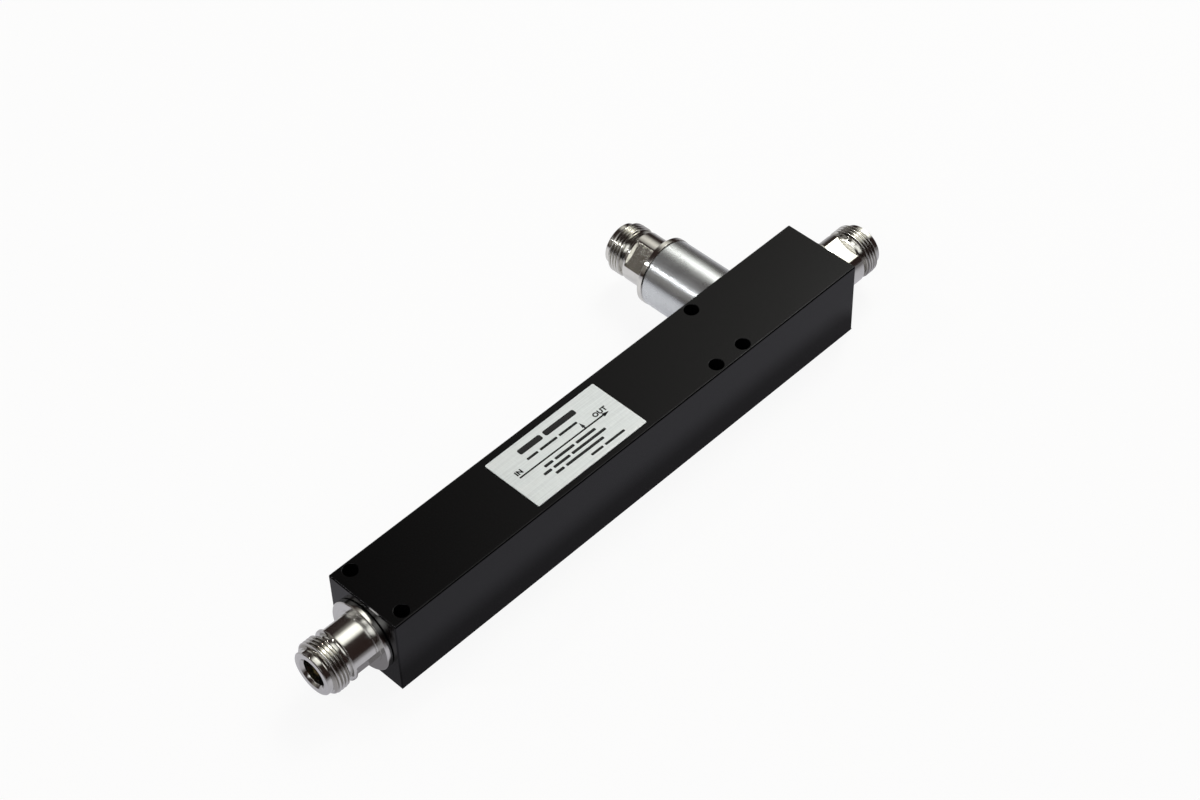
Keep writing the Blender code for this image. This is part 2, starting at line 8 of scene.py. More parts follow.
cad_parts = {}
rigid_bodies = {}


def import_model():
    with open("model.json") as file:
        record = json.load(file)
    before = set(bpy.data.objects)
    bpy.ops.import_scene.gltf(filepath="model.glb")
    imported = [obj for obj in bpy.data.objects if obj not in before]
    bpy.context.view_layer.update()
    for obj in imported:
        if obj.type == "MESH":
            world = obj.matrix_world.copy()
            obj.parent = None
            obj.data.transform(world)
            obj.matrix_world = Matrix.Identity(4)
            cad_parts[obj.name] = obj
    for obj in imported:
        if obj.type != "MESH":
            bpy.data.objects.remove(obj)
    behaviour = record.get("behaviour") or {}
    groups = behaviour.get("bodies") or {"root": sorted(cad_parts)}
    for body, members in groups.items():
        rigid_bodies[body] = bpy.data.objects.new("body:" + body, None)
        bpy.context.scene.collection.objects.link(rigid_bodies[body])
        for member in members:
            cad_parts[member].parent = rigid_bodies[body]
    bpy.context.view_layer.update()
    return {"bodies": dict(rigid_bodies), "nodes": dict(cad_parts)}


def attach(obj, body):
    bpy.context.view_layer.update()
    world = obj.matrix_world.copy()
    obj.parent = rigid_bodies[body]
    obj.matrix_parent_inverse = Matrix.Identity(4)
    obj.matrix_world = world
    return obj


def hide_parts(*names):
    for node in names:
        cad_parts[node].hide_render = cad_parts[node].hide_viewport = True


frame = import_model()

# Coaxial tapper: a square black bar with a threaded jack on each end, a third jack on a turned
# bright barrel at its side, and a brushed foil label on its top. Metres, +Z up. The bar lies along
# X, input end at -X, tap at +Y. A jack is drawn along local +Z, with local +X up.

INCH = 0.0254

# Clearances
FIT_GAP = 0.00015
SEAT_GAP = 0.00002

# Bar
BAR_LENGTH = 0.178
BAR_WIDTH = INCH
BAR_HEIGHT = INCH
BAR_EDGE_BREAK = 0.0004
BAR_FOOT_EDGE_BREAK = 0.0001
LINE_BORE_R = 0.0065
SCREW_HOLE_R = 0.00212
HOLE_RIM = 0.0002
SCREW_HOLE_SIDE_INSET = 0.003
SCREW_HOLE_IN_INSET = 0.00512
SCREW_HOLE_OUT_INSET = 0.0445
SCREW_HOLE_ODD_STEP = 0.0107
TAP_AXIS_INSET = 0.02925
# Where a painted glint lies on the input end's top edge, and half its length
GLINT_Y = -0.0046
GLINT_HALF_LENGTH = 0.002
RIM_WEAR_AND_HIGHLIGHT_REACH = 0.0007

# Label
LABEL_LENGTH = 0.041
LABEL_WIDTH = 0.0205
LABEL_THICKNESS = 0.0003
LABEL_CORNER_R = 0.0004
LABEL_EDGE_BREAK = 0.00005
LABEL_OFFSET = -0.01525
LABEL_SIDE_OFFSET = -0.00035

# Print on the label, with lengths from the print's own centre
INK_THICKNESS = 0.00002
PRINT_SIDE_OFFSET = -0.0002
PRINT_TURN = math.radians(-0.6)
STROKE_HALF = 0.00026
FLOW_START = -0.0171
FLOW_END = 0.0163
FLOW_HEAD = 0.0022
FLOW_HEAD_HALF = 0.0007
BRANCH_X = 0.0075
BRANCH_TOP = 0.00272
BRANCH_HEAD = 0.002
BRANCH_HEAD_HALF = 0.00056
WORD_HEIGHT = 0.0015
WORD_WEIGHT = 0.00011
WORD_BASE = 0.0009
OUT_WORD_X = 0.0119
CAPITAL_SHARE = 0.7
LETTER_SPACING = 1.08
LETTER_STEPS = 4
BAR_ROUNDING = 0.3

# Each line of bars: its place across the label, its height, and where its bars start and end
BAR_LINES = (
    (0.0066, 0.002, ((-0.0112, -0.0028), (-0.0018, 0.0098))),
    (0.0033, 0.0008, ((-0.0112, -0.0072), (-0.0064, -0.0001), (0.0007, 0.0074))),
    (-0.0019, 0.0009, ((-0.0098, -0.0067), (-0.0059, 0.0012), (0.002, 0.0092))),
    (-0.0038, 0.0009, ((-0.0118, -0.009), (-0.0082, -0.0022), (-0.0014, 0.0112))),
    (-0.0057, 0.0009, ((-0.0092, -0.0062), (-0.0054, 0.0086))),
    (-0.0079, 0.0008, ((0.0018, 0.0062), (0.007, 0.0143))),
)

# Jack shell, from its flange outwards
FLANGE_R = 0.0107
FLANGE_THICKNESS = 0.0019
BOSS_HEIGHT = 0.00075
BOSS_STEP = 0.00022
COLLAR_LENGTH = 0.00795
COLLAR_CHAMFER = 0.0004
COLLAR_STEP = 0.00006
FLAT_DEPTH = 0.0012
FLAT_LEDGE = 0.0001
FLAT_RIM = 0.001
FLAT_RIM_EDGE = 0.0001
UNDERCUT_LENGTH = 0.0013
UNDERCUT_STEP = 0.0001
THREAD_R = 0.0079375
THREAD_LENGTH = 0.0049
THREAD_PITCH = INCH / 24
THREAD_CREST_SHARE = 0.2
THREAD_DEPTH_SHARE = 0.6134
THREAD_BACK_CHAMFER = 0.0006
THREAD_FRONT_CHAMFER = 0.0009
THREAD_EASE = 0.00008
# Painted shade in the thread's grooves: full at the dark depth, gone at the clear depth, and its strength
GROOVE_DARK_DEPTH = 0.0005
GROOVE_CLEAR_DEPTH = 0.00012
GROOVE_SHADE = 0.7
NOSE_STEP = 0.0012875
NOSE_LENGTH = 0.0017
EDGE_BREAK = 0.00025
SOCKET_R = 0.004065
SOCKET_DEPTH = 0.0091
MOUTH_FLARE = 0.00073
MOUTH_DEPTH = 0.0009
LIP_WIDTH = 0.000565
LIP_THICKNESS = 0.0008
SHELL_WALL = 0.0016
SPIGOT_LENGTH = 0.0065
SPIGOT_WALL = 0.00135

# Seal rings behind the flanges
SEAL_SECTION_R = 0.00045
SEAL_LAND = 0.0007

# Contact, insulator and its ring
CONTACT_R = 0.00152
CONTACT_RECESS = 0.0044
CONTACT_PIN_R = 0.00083
CONTACT_PIN_DEPTH = 0.005
CONTACT_SLOT_WIDTH = 0.0003
CONTACT_SLOT_LENGTH = 0.0041
CONTACT_WAIST_STEP = 0.0004
CONTACT_EDGE_BREAK = 0.0002
CONTACT_TAIL_LENGTH = 0.005
RING_THICKNESS = 0.0018
RING_WALL = 0.0016
RING_SETBACK = 0.0002

# Tap barrel
BARREL_R = 0.01055
BARREL_LENGTH = 0.021
BARREL_FLOOR = 0.002
BARREL_SPIGOT_LENGTH = 0.0055
BARREL_SPIGOT_WALL = 0.0009
BARREL_SPIGOT_STEP = 0.0005

# The wrench flats' turn about each jack's own axis, from straight up
FLAT_TURNS = {"in": math.radians(66), "out": math.radians(15.2), "tap": math.radians(-43.2)}

# How rough each jack's wrench flats are, and how far off its plane a point still counts
FLAT_ROUGHNESS = {"in": 0.1, "out": 0.2, "tap": 0.058}
FLAT_TOLERANCE = 0.00001

# Small rounds on turned edges
SHELL_CORNER_R = 0.00006
TURNED_CORNER_R = 0.00008
RING_CORNER_R = 0.0001

# Fineness of the meshes
SHELL_COLUMNS = 180
TURNED_COLUMNS = 128
CONTACT_COLUMNS = 64
THREAD_ROWS_A_PITCH = 28
CORNER_STEPS = 3
CORNER_SHARE = 0.45
RIM_STEPS = 5
SEAL_STEPS = 20
STRAIGHT_ANGLE = math.radians(3)
SHARP_ANGLE = math.radians(42)
MERGE_DISTANCE = 0.000001
OVERCUT = 0.001

# Worked out: places along the bar and across it
AXIS_HEIGHT = BAR_HEIGHT / 2
BAR_END = BAR_LENGTH / 2
BAR_SIDE = BAR_WIDTH / 2
TAP_X = BAR_END - TAP_AXIS_INSET

# Worked out: heights along a jack's axis
LEDGE_TOP = FLANGE_THICKNESS + FLAT_LEDGE
BOSS_TOP = FLANGE_THICKNESS + BOSS_HEIGHT
COLLAR_TOP = BOSS_TOP + COLLAR_LENGTH
FLAT_TOP = COLLAR_TOP - FLAT_RIM
THREAD_BOTTOM = COLLAR_TOP + UNDERCUT_LENGTH
THREAD_TOP = THREAD_BOTTOM + THREAD_LENGTH
JACK_FACE = THREAD_TOP + NOSE_LENGTH
LIP_TOP = JACK_FACE - SOCKET_DEPTH
LIP_BOTTOM = LIP_TOP - LIP_THICKNESS
CONTACT_TIP = JACK_FACE - CONTACT_RECESS
RING_TOP = RING_SETBACK + RING_THICKNESS

# Worked out: radii
COLLAR_R = THREAD_R - COLLAR_STEP
BOSS_R = COLLAR_R + BOSS_STEP
FLAT_R = COLLAR_R - FLAT_DEPTH
UNDERCUT_R = FLAT_R - UNDERCUT_STEP
GROOVE_DARK_R = THREAD_R - GROOVE_DARK_DEPTH
GROOVE_CLEAR_R = THREAD_R - GROOVE_CLEAR_DEPTH
NOSE_R = THREAD_R - NOSE_STEP
MOUTH_R = SOCKET_R + MOUTH_FLARE
LIP_R = SOCKET_R - LIP_WIDTH
POCKET_R = UNDERCUT_R - SHELL_WALL
SPIGOT_R = LINE_BORE_R - FIT_GAP
SPIGOT_BORE_R = SPIGOT_R - SPIGOT_WALL
BARREL_SPIGOT_R = SPIGOT_R - BARREL_SPIGOT_STEP
BARREL_SPIGOT_BORE_R = BARREL_SPIGOT_R - BARREL_SPIGOT_WALL
SEAL_R = SPIGOT_R + SEAL_LAND + SEAL_SECTION_R + FIT_GAP
SEAL_GROOVE_HALF = SEAL_SECTION_R + FIT_GAP
SEAL_GROOVE_DEPTH = 2 * SEAL_SECTION_R + FIT_GAP
CONTACT_WAIST_R = CONTACT_R - CONTACT_WAIST_STEP

# Camera, solved on six corners of the bar in the photograph
LENS = 79.335
SENSOR_WIDTH = 36.0
CLIP_NEAR = 0.01
CLIP_FAR = 20.0
CAMERA_PLACE = Vector((-0.33720630, -0.34411571, 0.55267978))
CAMERA_RIGHT = Vector((0.69830528, -0.71543076, -0.02299057))
CAMERA_UP = Vector((0.5369214, 0.50228742, 0.67780732))

# Turned metals: the tones of their lower and upper rings, and of their pin specks
NICKEL = ((0.62, 0.617, 0.588), (0.67, 0.667, 0.636), (0.42, 0.4, 0.35))
SILVER = ((0.78, 0.77, 0.74), (0.86, 0.85, 0.82), (0.5, 0.48, 0.44))
GOLD = ((0.82, 0.62, 0.28), (0.88, 0.7, 0.36), (0.55, 0.4, 0.16))
BRASS = ((0.6, 0.46, 0.22), (0.68, 0.54, 0.29), (0.4, 0.28, 0.12))
ALUMINIUM = ((0.575, 0.6, 0.612), (0.645, 0.67, 0.682), (0.4, 0.41, 0.42))

# Lamps: name, the way to it, distance, width and height, how bright its face looks, colour, faded share
LAMPS = (
    ("overhead", (0.56, 0.02, 0.83), 1.3, (1.4, 1.8), 2.0, (1.0, 1.0, 0.94), 0.35),
    ("core", (0.5815, 0.2, 0.789), 1.25, (0.5, 0.5), 9.5, (1.0, 1.0, 0.97), 0.35),
    ("spill", (0.6, 0.43, 0.675), 1.5, (1.2, 1.6), 0.95, (1.0, 0.98, 0.9), 0.5),
    ("strip", (-0.6, 0.4965, 0.627), 1.3, (0.1, 0.13), 64.0, (1.0, 1.0, 1.0), 0.3),
    ("front", (-0.6, -0.46, 0.655), 1.5, (1.4, 1.2), 2.1, (0.98, 0.99, 1.0), 0.3),
    ("crown", (-0.6, 0.02, 0.79), 1.3, (0.6, 0.6), 3.2, (1.0, 1.0, 1.0), 0.3),
    ("side", (-0.78, 0.5, 0.38), 1.5, (1.2, 1.0), 0.2, (1.0, 0.97, 0.88), 0.4),
    ("rear", (-0.207, 0.87, 0.45), 1.5, (1.6, 1.2), 0.8, (1.0, 0.99, 0.98), 0.4),
)

# Floor
FLOOR_HALF = 3.0
FLOOR_DROP = 0.00005
FLOOR_END_WEIGHT = 1.6
CAMERA_GLOW = 0.9
MIRROR_GLOW = 0.64

# Colour sockets of a Mix node
MIX_A = 6
MIX_B = 7
MIX_RESULT = 2


def port_place(x, y, z, outwards):
    """The frame at a mounting face: local +Z points out of it, local +X points up."""
    frame_at = Matrix((Vector((0, 0, 1)), outwards.cross(Vector((0, 0, 1))), outwards)).transposed()
    return Matrix.Translation((x, y, z)) @ frame_at.to_4x4()


TAP_FACE_Y = BAR_SIDE + BARREL_LENGTH + 2 * SEAT_GAP
PORTS = {
    "in": port_place(-BAR_END - SEAT_GAP, 0, AXIS_HEIGHT, Vector((-1, 0, 0))),
    "out": port_place(BAR_END + SEAT_GAP, 0, AXIS_HEIGHT, Vector((1, 0, 0))),
    "tap": port_place(TAP_X, TAP_FACE_Y, AXIS_HEIGHT, Vector((0, 1, 0))),
    "side": port_place(TAP_X, BAR_SIDE + SEAT_GAP, AXIS_HEIGHT, Vector((0, 1, 0))),
}


# Node helpers


def wire(tree, kind, inputs=None, **settings):
    """Adds a node. Settings are its own properties, and inputs are values or other nodes' sockets."""
    made = tree.nodes.new(kind)
    for name, value in settings.items():
        setattr(made, name, value)
    for name, value in (inputs or {}).items():
        if isinstance(value, bpy.types.NodeSocket):
            tree.links.new(value, made.inputs[name])
        else:
            made.inputs[name].default_value = value
    return made


def calc(tree, operation, *values):
    """One Math node's result."""
    return wire(tree, "ShaderNodeMath", dict(enumerate(values)), operation=operation).outputs[0]


def vector_calc(tree, operation, *values):
    return wire(tree, "ShaderNodeVectorMath", dict(enumerate(values)), operation=operation).outputs[0]


def spread(tree, value, low, high, to_low=0.0, to_high=1.0):
    """The value's range from low to high, clamped and mapped to another range."""
    names = ("Value", "From Min", "From Max", "To Min", "To Max")
    inputs = dict(zip(names, (value, low, high, to_low, to_high)))
    return wire(tree, "ShaderNodeMapRange", inputs).outputs["Result"]


def between(tree, value, low, high):
    """1 where the value lies between low and high, and 0 elsewhere."""
    above = calc(tree, "GREATER_THAN", value, low)
    below = calc(tree, "LESS_THAN", value, high)
    return calc(tree, "MULTIPLY", above, below)


def weighted(tree, *layers):
    """Two patterns added, each by its weight."""
    return calc(tree, "ADD", *[calc(tree, "MULTIPLY", pattern, weight) for pattern, weight in layers])


def blend(tree, share, first, second):
    """Two colours, or sockets that carry them, mixed by a share."""
    sides = [side if isinstance(side, bpy.types.NodeSocket) else (*side, 1) for side in (first, second)]
    inputs = {0: share, MIX_A: sides[0], MIX_B: sides[1]}
    return wire(tree, "ShaderNodeMix", inputs, data_type="RGBA").outputs[MIX_RESULT]


def grain(tree, place, stretch, detail=2.0):
    """Noise whose repeats to the metre are given for each axis."""
    mapped = wire(tree, "ShaderNodeMapping", {"Vector": place, "Scale": stretch}).outputs[0]
    return wire(tree, "ShaderNodeTexNoise", {"Vector": mapped, "Scale": 1.0, "Detail": detail}).outputs[0]


def relief(tree, shader, height, depth):
    """Bump of a real depth in metres, over any bump that the shader has already."""
    inputs = {"Height": height, "Distance": depth, "Strength": 1.0}
    for link in shader.inputs["Normal"].links:
        inputs["Normal"] = link.from_socket
    bump = wire(tree, "ShaderNodeBump", inputs).outputs[0]
    tree.links.new(bump, shader.inputs["Normal"])


def port_axes(tree, place, port):
    """Where a point is in a port's own frame, as a vector and as its three parts."""
    inputs = {"Vector": place, "Location": port.translation, "Rotation": port.to_euler()}
    local = wire(tree, "ShaderNodeMapping", inputs, vector_type="TEXTURE").outputs[0]
    return local, wire(tree, "ShaderNodeSeparateXYZ", {0: local}).outputs


def from_axis(tree, parts):
    """How far a point is from its own frame's Z axis."""
    squares = [calc(tree, "POWER", part, 2.0) for part in (parts[0], parts[1])]
    return calc(tree, "SQRT", calc(tree, "ADD", *squares))


def new_finish(name, colour, metallic, roughness, **sockets):
    """A material with its shader's plain values set, and the place on the piece."""
    finish = bpy.data.materials.new(name)
    finish.use_nodes = True
    finish.diffuse_color = (*colour, 1)
    tree = finish.node_tree
    shader = tree.nodes["Principled BSDF"]
    shader.inputs["Base Color"].default_value = (*colour, 1)
    shader.inputs["Metallic"].default_value = metallic
    shader.inputs["Roughness"].default_value = roughness
    for socket, value in sockets.items():
        shader.inputs[socket.replace("_", " ")].default_value = value
    place = wire(tree, "ShaderNodeTexCoord").outputs["Object"]
    return finish, tree, shader, place


# Finishes


def near_bar_edge(tree, place, reach):
    """1 on the rim of the bar's top, down to 0 at a reach from it and below it."""
    parts = wire(tree, "ShaderNodeSeparateXYZ", {0: place}).outputs
    centred = calc(tree, "SUBTRACT", parts[2], AXIS_HEIGHT)
    close = []
    for part, half in ((parts[0], BAR_END), (parts[1], BAR_SIDE), (centred, BAR_HEIGHT / 2)):
        inset = calc(tree, "SUBTRACT", half, calc(tree, "ABSOLUTE", part))
        close.append(spread(tree, inset, 0.0, reach, 1.0, 0.0))
    pairs = [calc(tree, "MULTIPLY", close[i], close[i - 1]) for i in range(3)]
    close_by = calc(tree, "MAXIMUM", pairs[0], calc(tree, "MAXIMUM", pairs[1], pairs[2]))
    rim_low = BAR_HEIGHT - BAR_EDGE_BREAK / 2
    on_top = spread(tree, parts[2], rim_low, BAR_HEIGHT - BAR_EDGE_BREAK / 6)
    return calc(tree, "MULTIPLY", close_by, on_top)


def painted_edge_glint(tree, place):
    """1 where a painted glint lies on the input end's top edge beside the jack."""
    parts = wire(tree, "ShaderNodeSeparateXYZ", {0: place}).outputs
    off_middle = calc(tree, "ABSOLUTE", calc(tree, "SUBTRACT", parts[1], GLINT_Y))
    length = spread(tree, off_middle, GLINT_HALF_LENGTH / 2, GLINT_HALF_LENGTH, 1.0, 0.0)
    by_end = spread(tree, parts[0], BAR_EDGE_BREAK / 2 - BAR_END, BAR_EDGE_BREAK - BAR_END, 1.0, 0.0)
    by_top = spread(tree, parts[2], BAR_HEIGHT - BAR_EDGE_BREAK, BAR_HEIGHT - BAR_EDGE_BREAK / 2)
    return calc(tree, "MULTIPLY", length, calc(tree, "MULTIPLY", by_end, by_top))


def black_anodised():
    """Satin black: a fine etched grain over faint lines from the extrusion, with a painted highlight, partly
    wear, lightening the top's rim.
    """
    finish, tree, shader, place = new_finish(
        "black_anodised", (0.0015, 0.0015, 0.0017), metallic=0.0, roughness=0.15,
        Specular_IOR_Level=0.133, Specular_Tint=(0.95, 0.955, 1.0, 1),
    )
    etched = grain(tree, place, (2600, 2600, 2600), 3.0)
    lines = grain(tree, place, (18, 1900, 1900), 3.0)
    cloud = grain(tree, place, (38, 60, 60), 3.0)
    # Painted highlight, partly wear: the top's rim is coloured lighter and made a little rougher
    rim_wear_and_highlight_mask = near_bar_edge(tree, place, RIM_WEAR_AND_HIGHLIGHT_REACH)
    patchy = spread(tree, cloud, 0.4, 0.62, 0.25, 1.0)
    rim_wear_and_highlight = calc(tree, "MULTIPLY", calc(tree, "MULTIPLY", rim_wear_and_highlight_mask, patchy), 0.5)
    tone = blend(tree, cloud, (0.0012, 0.0012, 0.0014), (0.0021, 0.0021, 0.0023))
    speck = blend(tree, spread(tree, etched, 0.6, 0.75, 0.0, 0.5), tone, (0.006, 0.006, 0.0065))
    with_wear_and_highlight = blend(tree, rim_wear_and_highlight, speck, (0.05, 0.05, 0.051))
    # A pale painted glint on the input end's top edge beside the jack
    with_painted_glint = blend(tree, painted_edge_glint(tree, place), with_wear_and_highlight, (0.6, 0.6, 0.6))
    tree.links.new(with_painted_glint, shader.inputs["Base Color"])
    rough = calc(tree, "ADD", spread(tree, etched, 0.3, 0.7, 0.13, 0.18), calc(tree, "MULTIPLY", rim_wear_and_highlight, 0.1))
    tree.links.new(rough, shader.inputs["Roughness"])
    relief(tree, shader, weighted(tree, (etched, 0.7), (lines, 0.5)), 0.000004)
    return finish


def lathe_finish(name, port, colours, roughness, depth, pitch, stretched, speck, metallic=1.0):
    """Turned metal: fine rings from the tool, a little tone from ring to ring, and pin specks."""
    finish, tree, shader, place = new_finish(name, colours[0], metallic, roughness, Anisotropic=stretched)
    local, parts = port_axes(tree, place, port)
    profile = wire(tree, "ShaderNodeCombineXYZ", {0: parts[2], 1: from_axis(tree, parts)}).outputs[0]
    fine = grain(tree, profile, (1 / pitch, 1 / pitch, 0), 2.0)
    broad = grain(tree, profile, (0.12 / pitch, 0.12 / pitch, 0), 3.0)
    cloud = grain(tree, local, (170, 170, 60), 4.0)
    dots = grain(tree, local, (5200, 5200, 5200), 1.0)
    rings = weighted(tree, (fine, 0.6), (broad, 0.4))
    tone = blend(tree, spread(tree, rings, 0.35, 0.65), colours[0], colours[1])
    pits = spread(tree, dots, 0.66, 0.74, 0.0, speck)
    tree.links.new(blend(tree, pits, tone, colours[2]), shader.inputs["Base Color"])
    clouded = spread(tree, cloud, 0.35, 0.65, roughness * 0.85, roughness * 1.2)
    rough = calc(tree, "ADD", clouded, calc(tree, "MULTIPLY", pits, 0.15))
    tree.links.new(rough, shader.inputs["Roughness"])

    # The rings stretch each highlight across them
    offset = vector_calc(tree, "SUBTRACT", place, port.translation)
    round_it = vector_calc(tree, "CROSS_PRODUCT", tuple(port.col[2].to_3d()), offset)
    normal = wire(tree, "ShaderNodeNewGeometry").outputs["Normal"]
    tree.links.new(vector_calc(tree, "CROSS_PRODUCT", round_it, normal), shader.inputs["Tangent"])
    relief(tree, shader, rings, depth)
    return finish


def bright_nickel(prefix):
    """Nickel over turned brass, with streaked wrench flats and painted shade in the thread's grooves."""
    finish = lathe_finish(
        prefix + "_nickel", PORTS[prefix], NICKEL,
        roughness=0.15, depth=0.0000012, pitch=0.00016, stretched=0.25, speck=0.25,
    )
    tree = finish.node_tree
    shader = tree.nodes["Principled BSDF"]
    place = tree.nodes["Texture Coordinate"].outputs["Object"]
    turned_rough = shader.inputs["Roughness"].links[0].from_socket
    turned_tone = shader.inputs["Base Color"].links[0].from_socket
    local, parts = port_axes(tree, place, PORTS[prefix] @ Matrix.Rotation(FLAT_TURNS[prefix], 4, "Z"))

    off_plane = calc(tree, "ABSOLUTE", calc(tree, "SUBTRACT", calc(tree, "ABSOLUTE", parts[0]), FLAT_R))
    on_plane = calc(tree, "LESS_THAN", off_plane, FLAT_TOLERANCE)
    milled = calc(tree, "MULTIPLY", on_plane, between(tree, parts[2], LEDGE_TOP, FLAT_TOP))
    streaks = grain(tree, local, (3000, 900, 5200), 4.0)
    pocks = grain(tree, local, (2600, 2600, 2600), 2.0)
    flat_roughness = FLAT_ROUGHNESS[prefix]
    flat_rough = spread(tree, streaks, 0.3, 0.7, flat_roughness * 0.7, flat_roughness * 1.3)
    gap = calc(tree, "MULTIPLY", milled, calc(tree, "SUBTRACT", flat_rough, turned_rough))
    tree.links.new(calc(tree, "ADD", turned_rough, gap), shader.inputs["Roughness"])

    # Painted shade: the thread's grooves are coloured darker towards their root
    groove_root_shade = spread(tree, from_axis(tree, parts), GROOVE_DARK_R, GROOVE_CLEAR_R, GROOVE_SHADE, 0.0)
    painted_groove_shade = calc(tree, "MULTIPLY", groove_root_shade, between(tree, parts[2], THREAD_BOTTOM, THREAD_TOP))
    thread_tone_with_painted_shade = blend(tree, painted_groove_shade, turned_tone, (0.34, 0.325, 0.285))
    flat_tone = blend(tree, spread(tree, pocks, 0.35, 0.65), (0.38, 0.37, 0.325), (0.63, 0.615, 0.56))
    tree.links.new(blend(tree, milled, thread_tone_with_painted_shade, flat_tone), shader.inputs["Base Color"])
    relief(tree, shader, calc(tree, "MULTIPLY", milled, calc(tree, "ADD", streaks, pocks)), 0.0000012)
    return finish


def turned_brass(prefix):
    return lathe_finish(
        prefix + "_brass", PORTS[prefix], BRASS,
        roughness=0.25, depth=0.000001, pitch=0.0002, stretched=0.3, speck=0.2,
    )


def gilt(prefix):
    return lathe_finish(
        prefix + "_gilt", PORTS[prefix], GOLD,
        roughness=0.18, depth=0.0000006, pitch=0.00012, stretched=0.2, speck=0.1,
    )


def silver_plate(rod, place):
    return lathe_finish(
        rod + "_silver", place, SILVER,
        roughness=0.22, depth=0.000001, pitch=0.0002, stretched=0.3, speck=0.2,
    )


def turned_aluminium():
    return lathe_finish(
        "turned_aluminium", PORTS["side"], ALUMINIUM,
        roughness=0.26, depth=0.0000012, pitch=0.00022, stretched=0.55, speck=0.2, metallic=0.84,
    )


def brushed_foil():
    """Silver foil, brushed along the label, with weaker streaks across it and a soft cloud of tone."""
    finish, tree, shader, place = new_finish(
        "brushed_foil", (0.7, 0.725, 0.715), metallic=0.35, roughness=0.5
    )
    brush = grain(tree, place, (60, 2600, 400), 4.0)
    weave = grain(tree, place, (2400, 500, 400), 2.0)
    cloud = grain(tree, place, (70, 120, 60), 3.0)
    both = weighted(tree, (brush, 0.7), (weave, 0.3))
    tone = blend(tree, spread(tree, both, 0.32, 0.68), (0.618, 0.655, 0.66), (0.768, 0.808, 0.812))
    clouded = blend(tree, spread(tree, cloud, 0.4, 0.65, 0.0, 0.35), tone, (0.8, 0.82, 0.81))
    tree.links.new(clouded, shader.inputs["Base Color"])
    tree.links.new(spread(tree, both, 0.3, 0.7, 0.42, 0.56), shader.inputs["Roughness"])
    relief(tree, shader, both, 0.000004)
    return finish


def black_ink():
    finish, tree, shader, place = new_finish(
        "black_ink", (0.008, 0.008, 0.008), metallic=0.0, roughness=0.45, Specular_IOR_Level=0.2
    )
    cover = grain(tree, place, (4200, 4200, 4200), 3.0)
    tone = blend(tree, spread(tree, cover, 0.45, 0.75), (0.006, 0.006, 0.0065), (0.02, 0.02, 0.02))
    tree.links.new(tone, shader.inputs["Base Color"])
    relief(tree, shader, cover, 0.000002)
    return finish


def moulded(name, colours, roughness, depth, **sockets):
    """A moulded or machined plastic or rubber: soft clouding and a fine skin."""
    finish, tree, shader, place = new_finish(name, colours[0], 0.0, roughness, **sockets)
    cloud = grain(tree, place, (420, 420, 420), 4.0)
    skin = grain(tree, place, (3800, 3800, 3800), 2.0)
    tree.links.new(blend(tree, cloud, *colours), shader.inputs["Base Color"])
    rough = spread(tree, skin, 0.3, 0.7, roughness * 0.85, roughness * 1.15)
    tree.links.new(rough, shader.inputs["Roughness"])
    relief(tree, shader, skin, depth)
    return finish


def white_ptfe():
    colours = ((0.8, 0.8, 0.77), (0.88, 0.88, 0.86))
    return moulded("ptfe", colours, 0.45, 0.000002, Subsurface_Weight=0.1, Subsurface_Scale=0.001)


def black_rubber():
    return moulded("seal_rubber", ((0.015, 0.015, 0.016), (0.03, 0.03, 0.031)), 0.6, 0.000003)


# Shapes


def eased(outline, radius, closed=True):
    """The outline with each corner rounded, by less where a side is too short for the radius."""
    count = len(outline)
    result = []
    for number, corner in enumerate(outline):
        ends = not closed and number in (0, count - 1)
        if ends or corner[0] == 0.0:
            result.append(tuple(corner))
            continue
        middle = Vector(corner)
        before = Vector(outline[number - 1]) - middle
        after = Vector(outline[(number + 1) % count]) - middle
        turn = math.pi - before.angle(after, math.pi)
        if turn < STRAIGHT_ANGLE:
            result.append(tuple(corner))
            continue
        reach = min(radius * math.tan(turn / 2), before.length * CORNER_SHARE, after.length * CORNER_SHARE)
        start = middle + before.normalized() * reach
        end = middle + after.normalized() * reach
        for step in range(CORNER_STEPS + 1):
            share = step / CORNER_STEPS
            point = start.lerp(middle, share).lerp(middle.lerp(end, share), share)
            result.append((point.x, point.y))
    return result


def lathe(outline, columns, closed=True, rule=None):
    """A turned mesh from (radius, height) points. A rule may change a radius by its angle and height."""
    shape = bmesh.new()
    rings = []
    for radius, height in outline:
        if radius == 0.0:
            rings.append([shape.verts.new((0, 0, height))] * columns)
            continue
        ring = []
        for column in range(columns):
            angle = 2 * math.pi * column / columns
            at = rule(radius, height, angle) if rule else radius
            ring.append(shape.verts.new((at * math.cos(angle), at * math.sin(angle), height)))
        rings.append(ring)
    pairs = list(zip(rings, rings[1:]))
    if closed:
        pairs.append((rings[-1], rings[0]))
    for upper, lower in pairs:
        for column in range(columns):
            after = (column + 1) % columns
            corners = (upper[column], upper[after], lower[after], lower[column])
            face = list(dict.fromkeys(corners))
            if len(face) > 2:
                shape.faces.new(face)
    return shape


def to_mesh(shape, name, place=None):
    """Closes what lies together, turns the faces outwards and puts the shape in its place."""
    bmesh.ops.remove_doubles(shape, verts=shape.verts, dist=MERGE_DISTANCE)
    bmesh.ops.recalc_face_normals(shape, faces=shape.faces)
    if place:
        bmesh.ops.transform(shape, matrix=place, verts=shape.verts)
    mesh = bpy.data.meshes.new(name)
    shape.to_mesh(mesh)
    shape.free()
    return mesh


def box_shape(low, high):
    shape = bmesh.new()
    size = [b - a for a, b in zip(low, high)]
    middle = [(a + b) / 2 for a, b in zip(low, high)]
    bmesh.ops.create_cube(shape, size=1, matrix=Matrix.Translation(middle) @ Matrix.Diagonal((*size, 1)))
    return shape


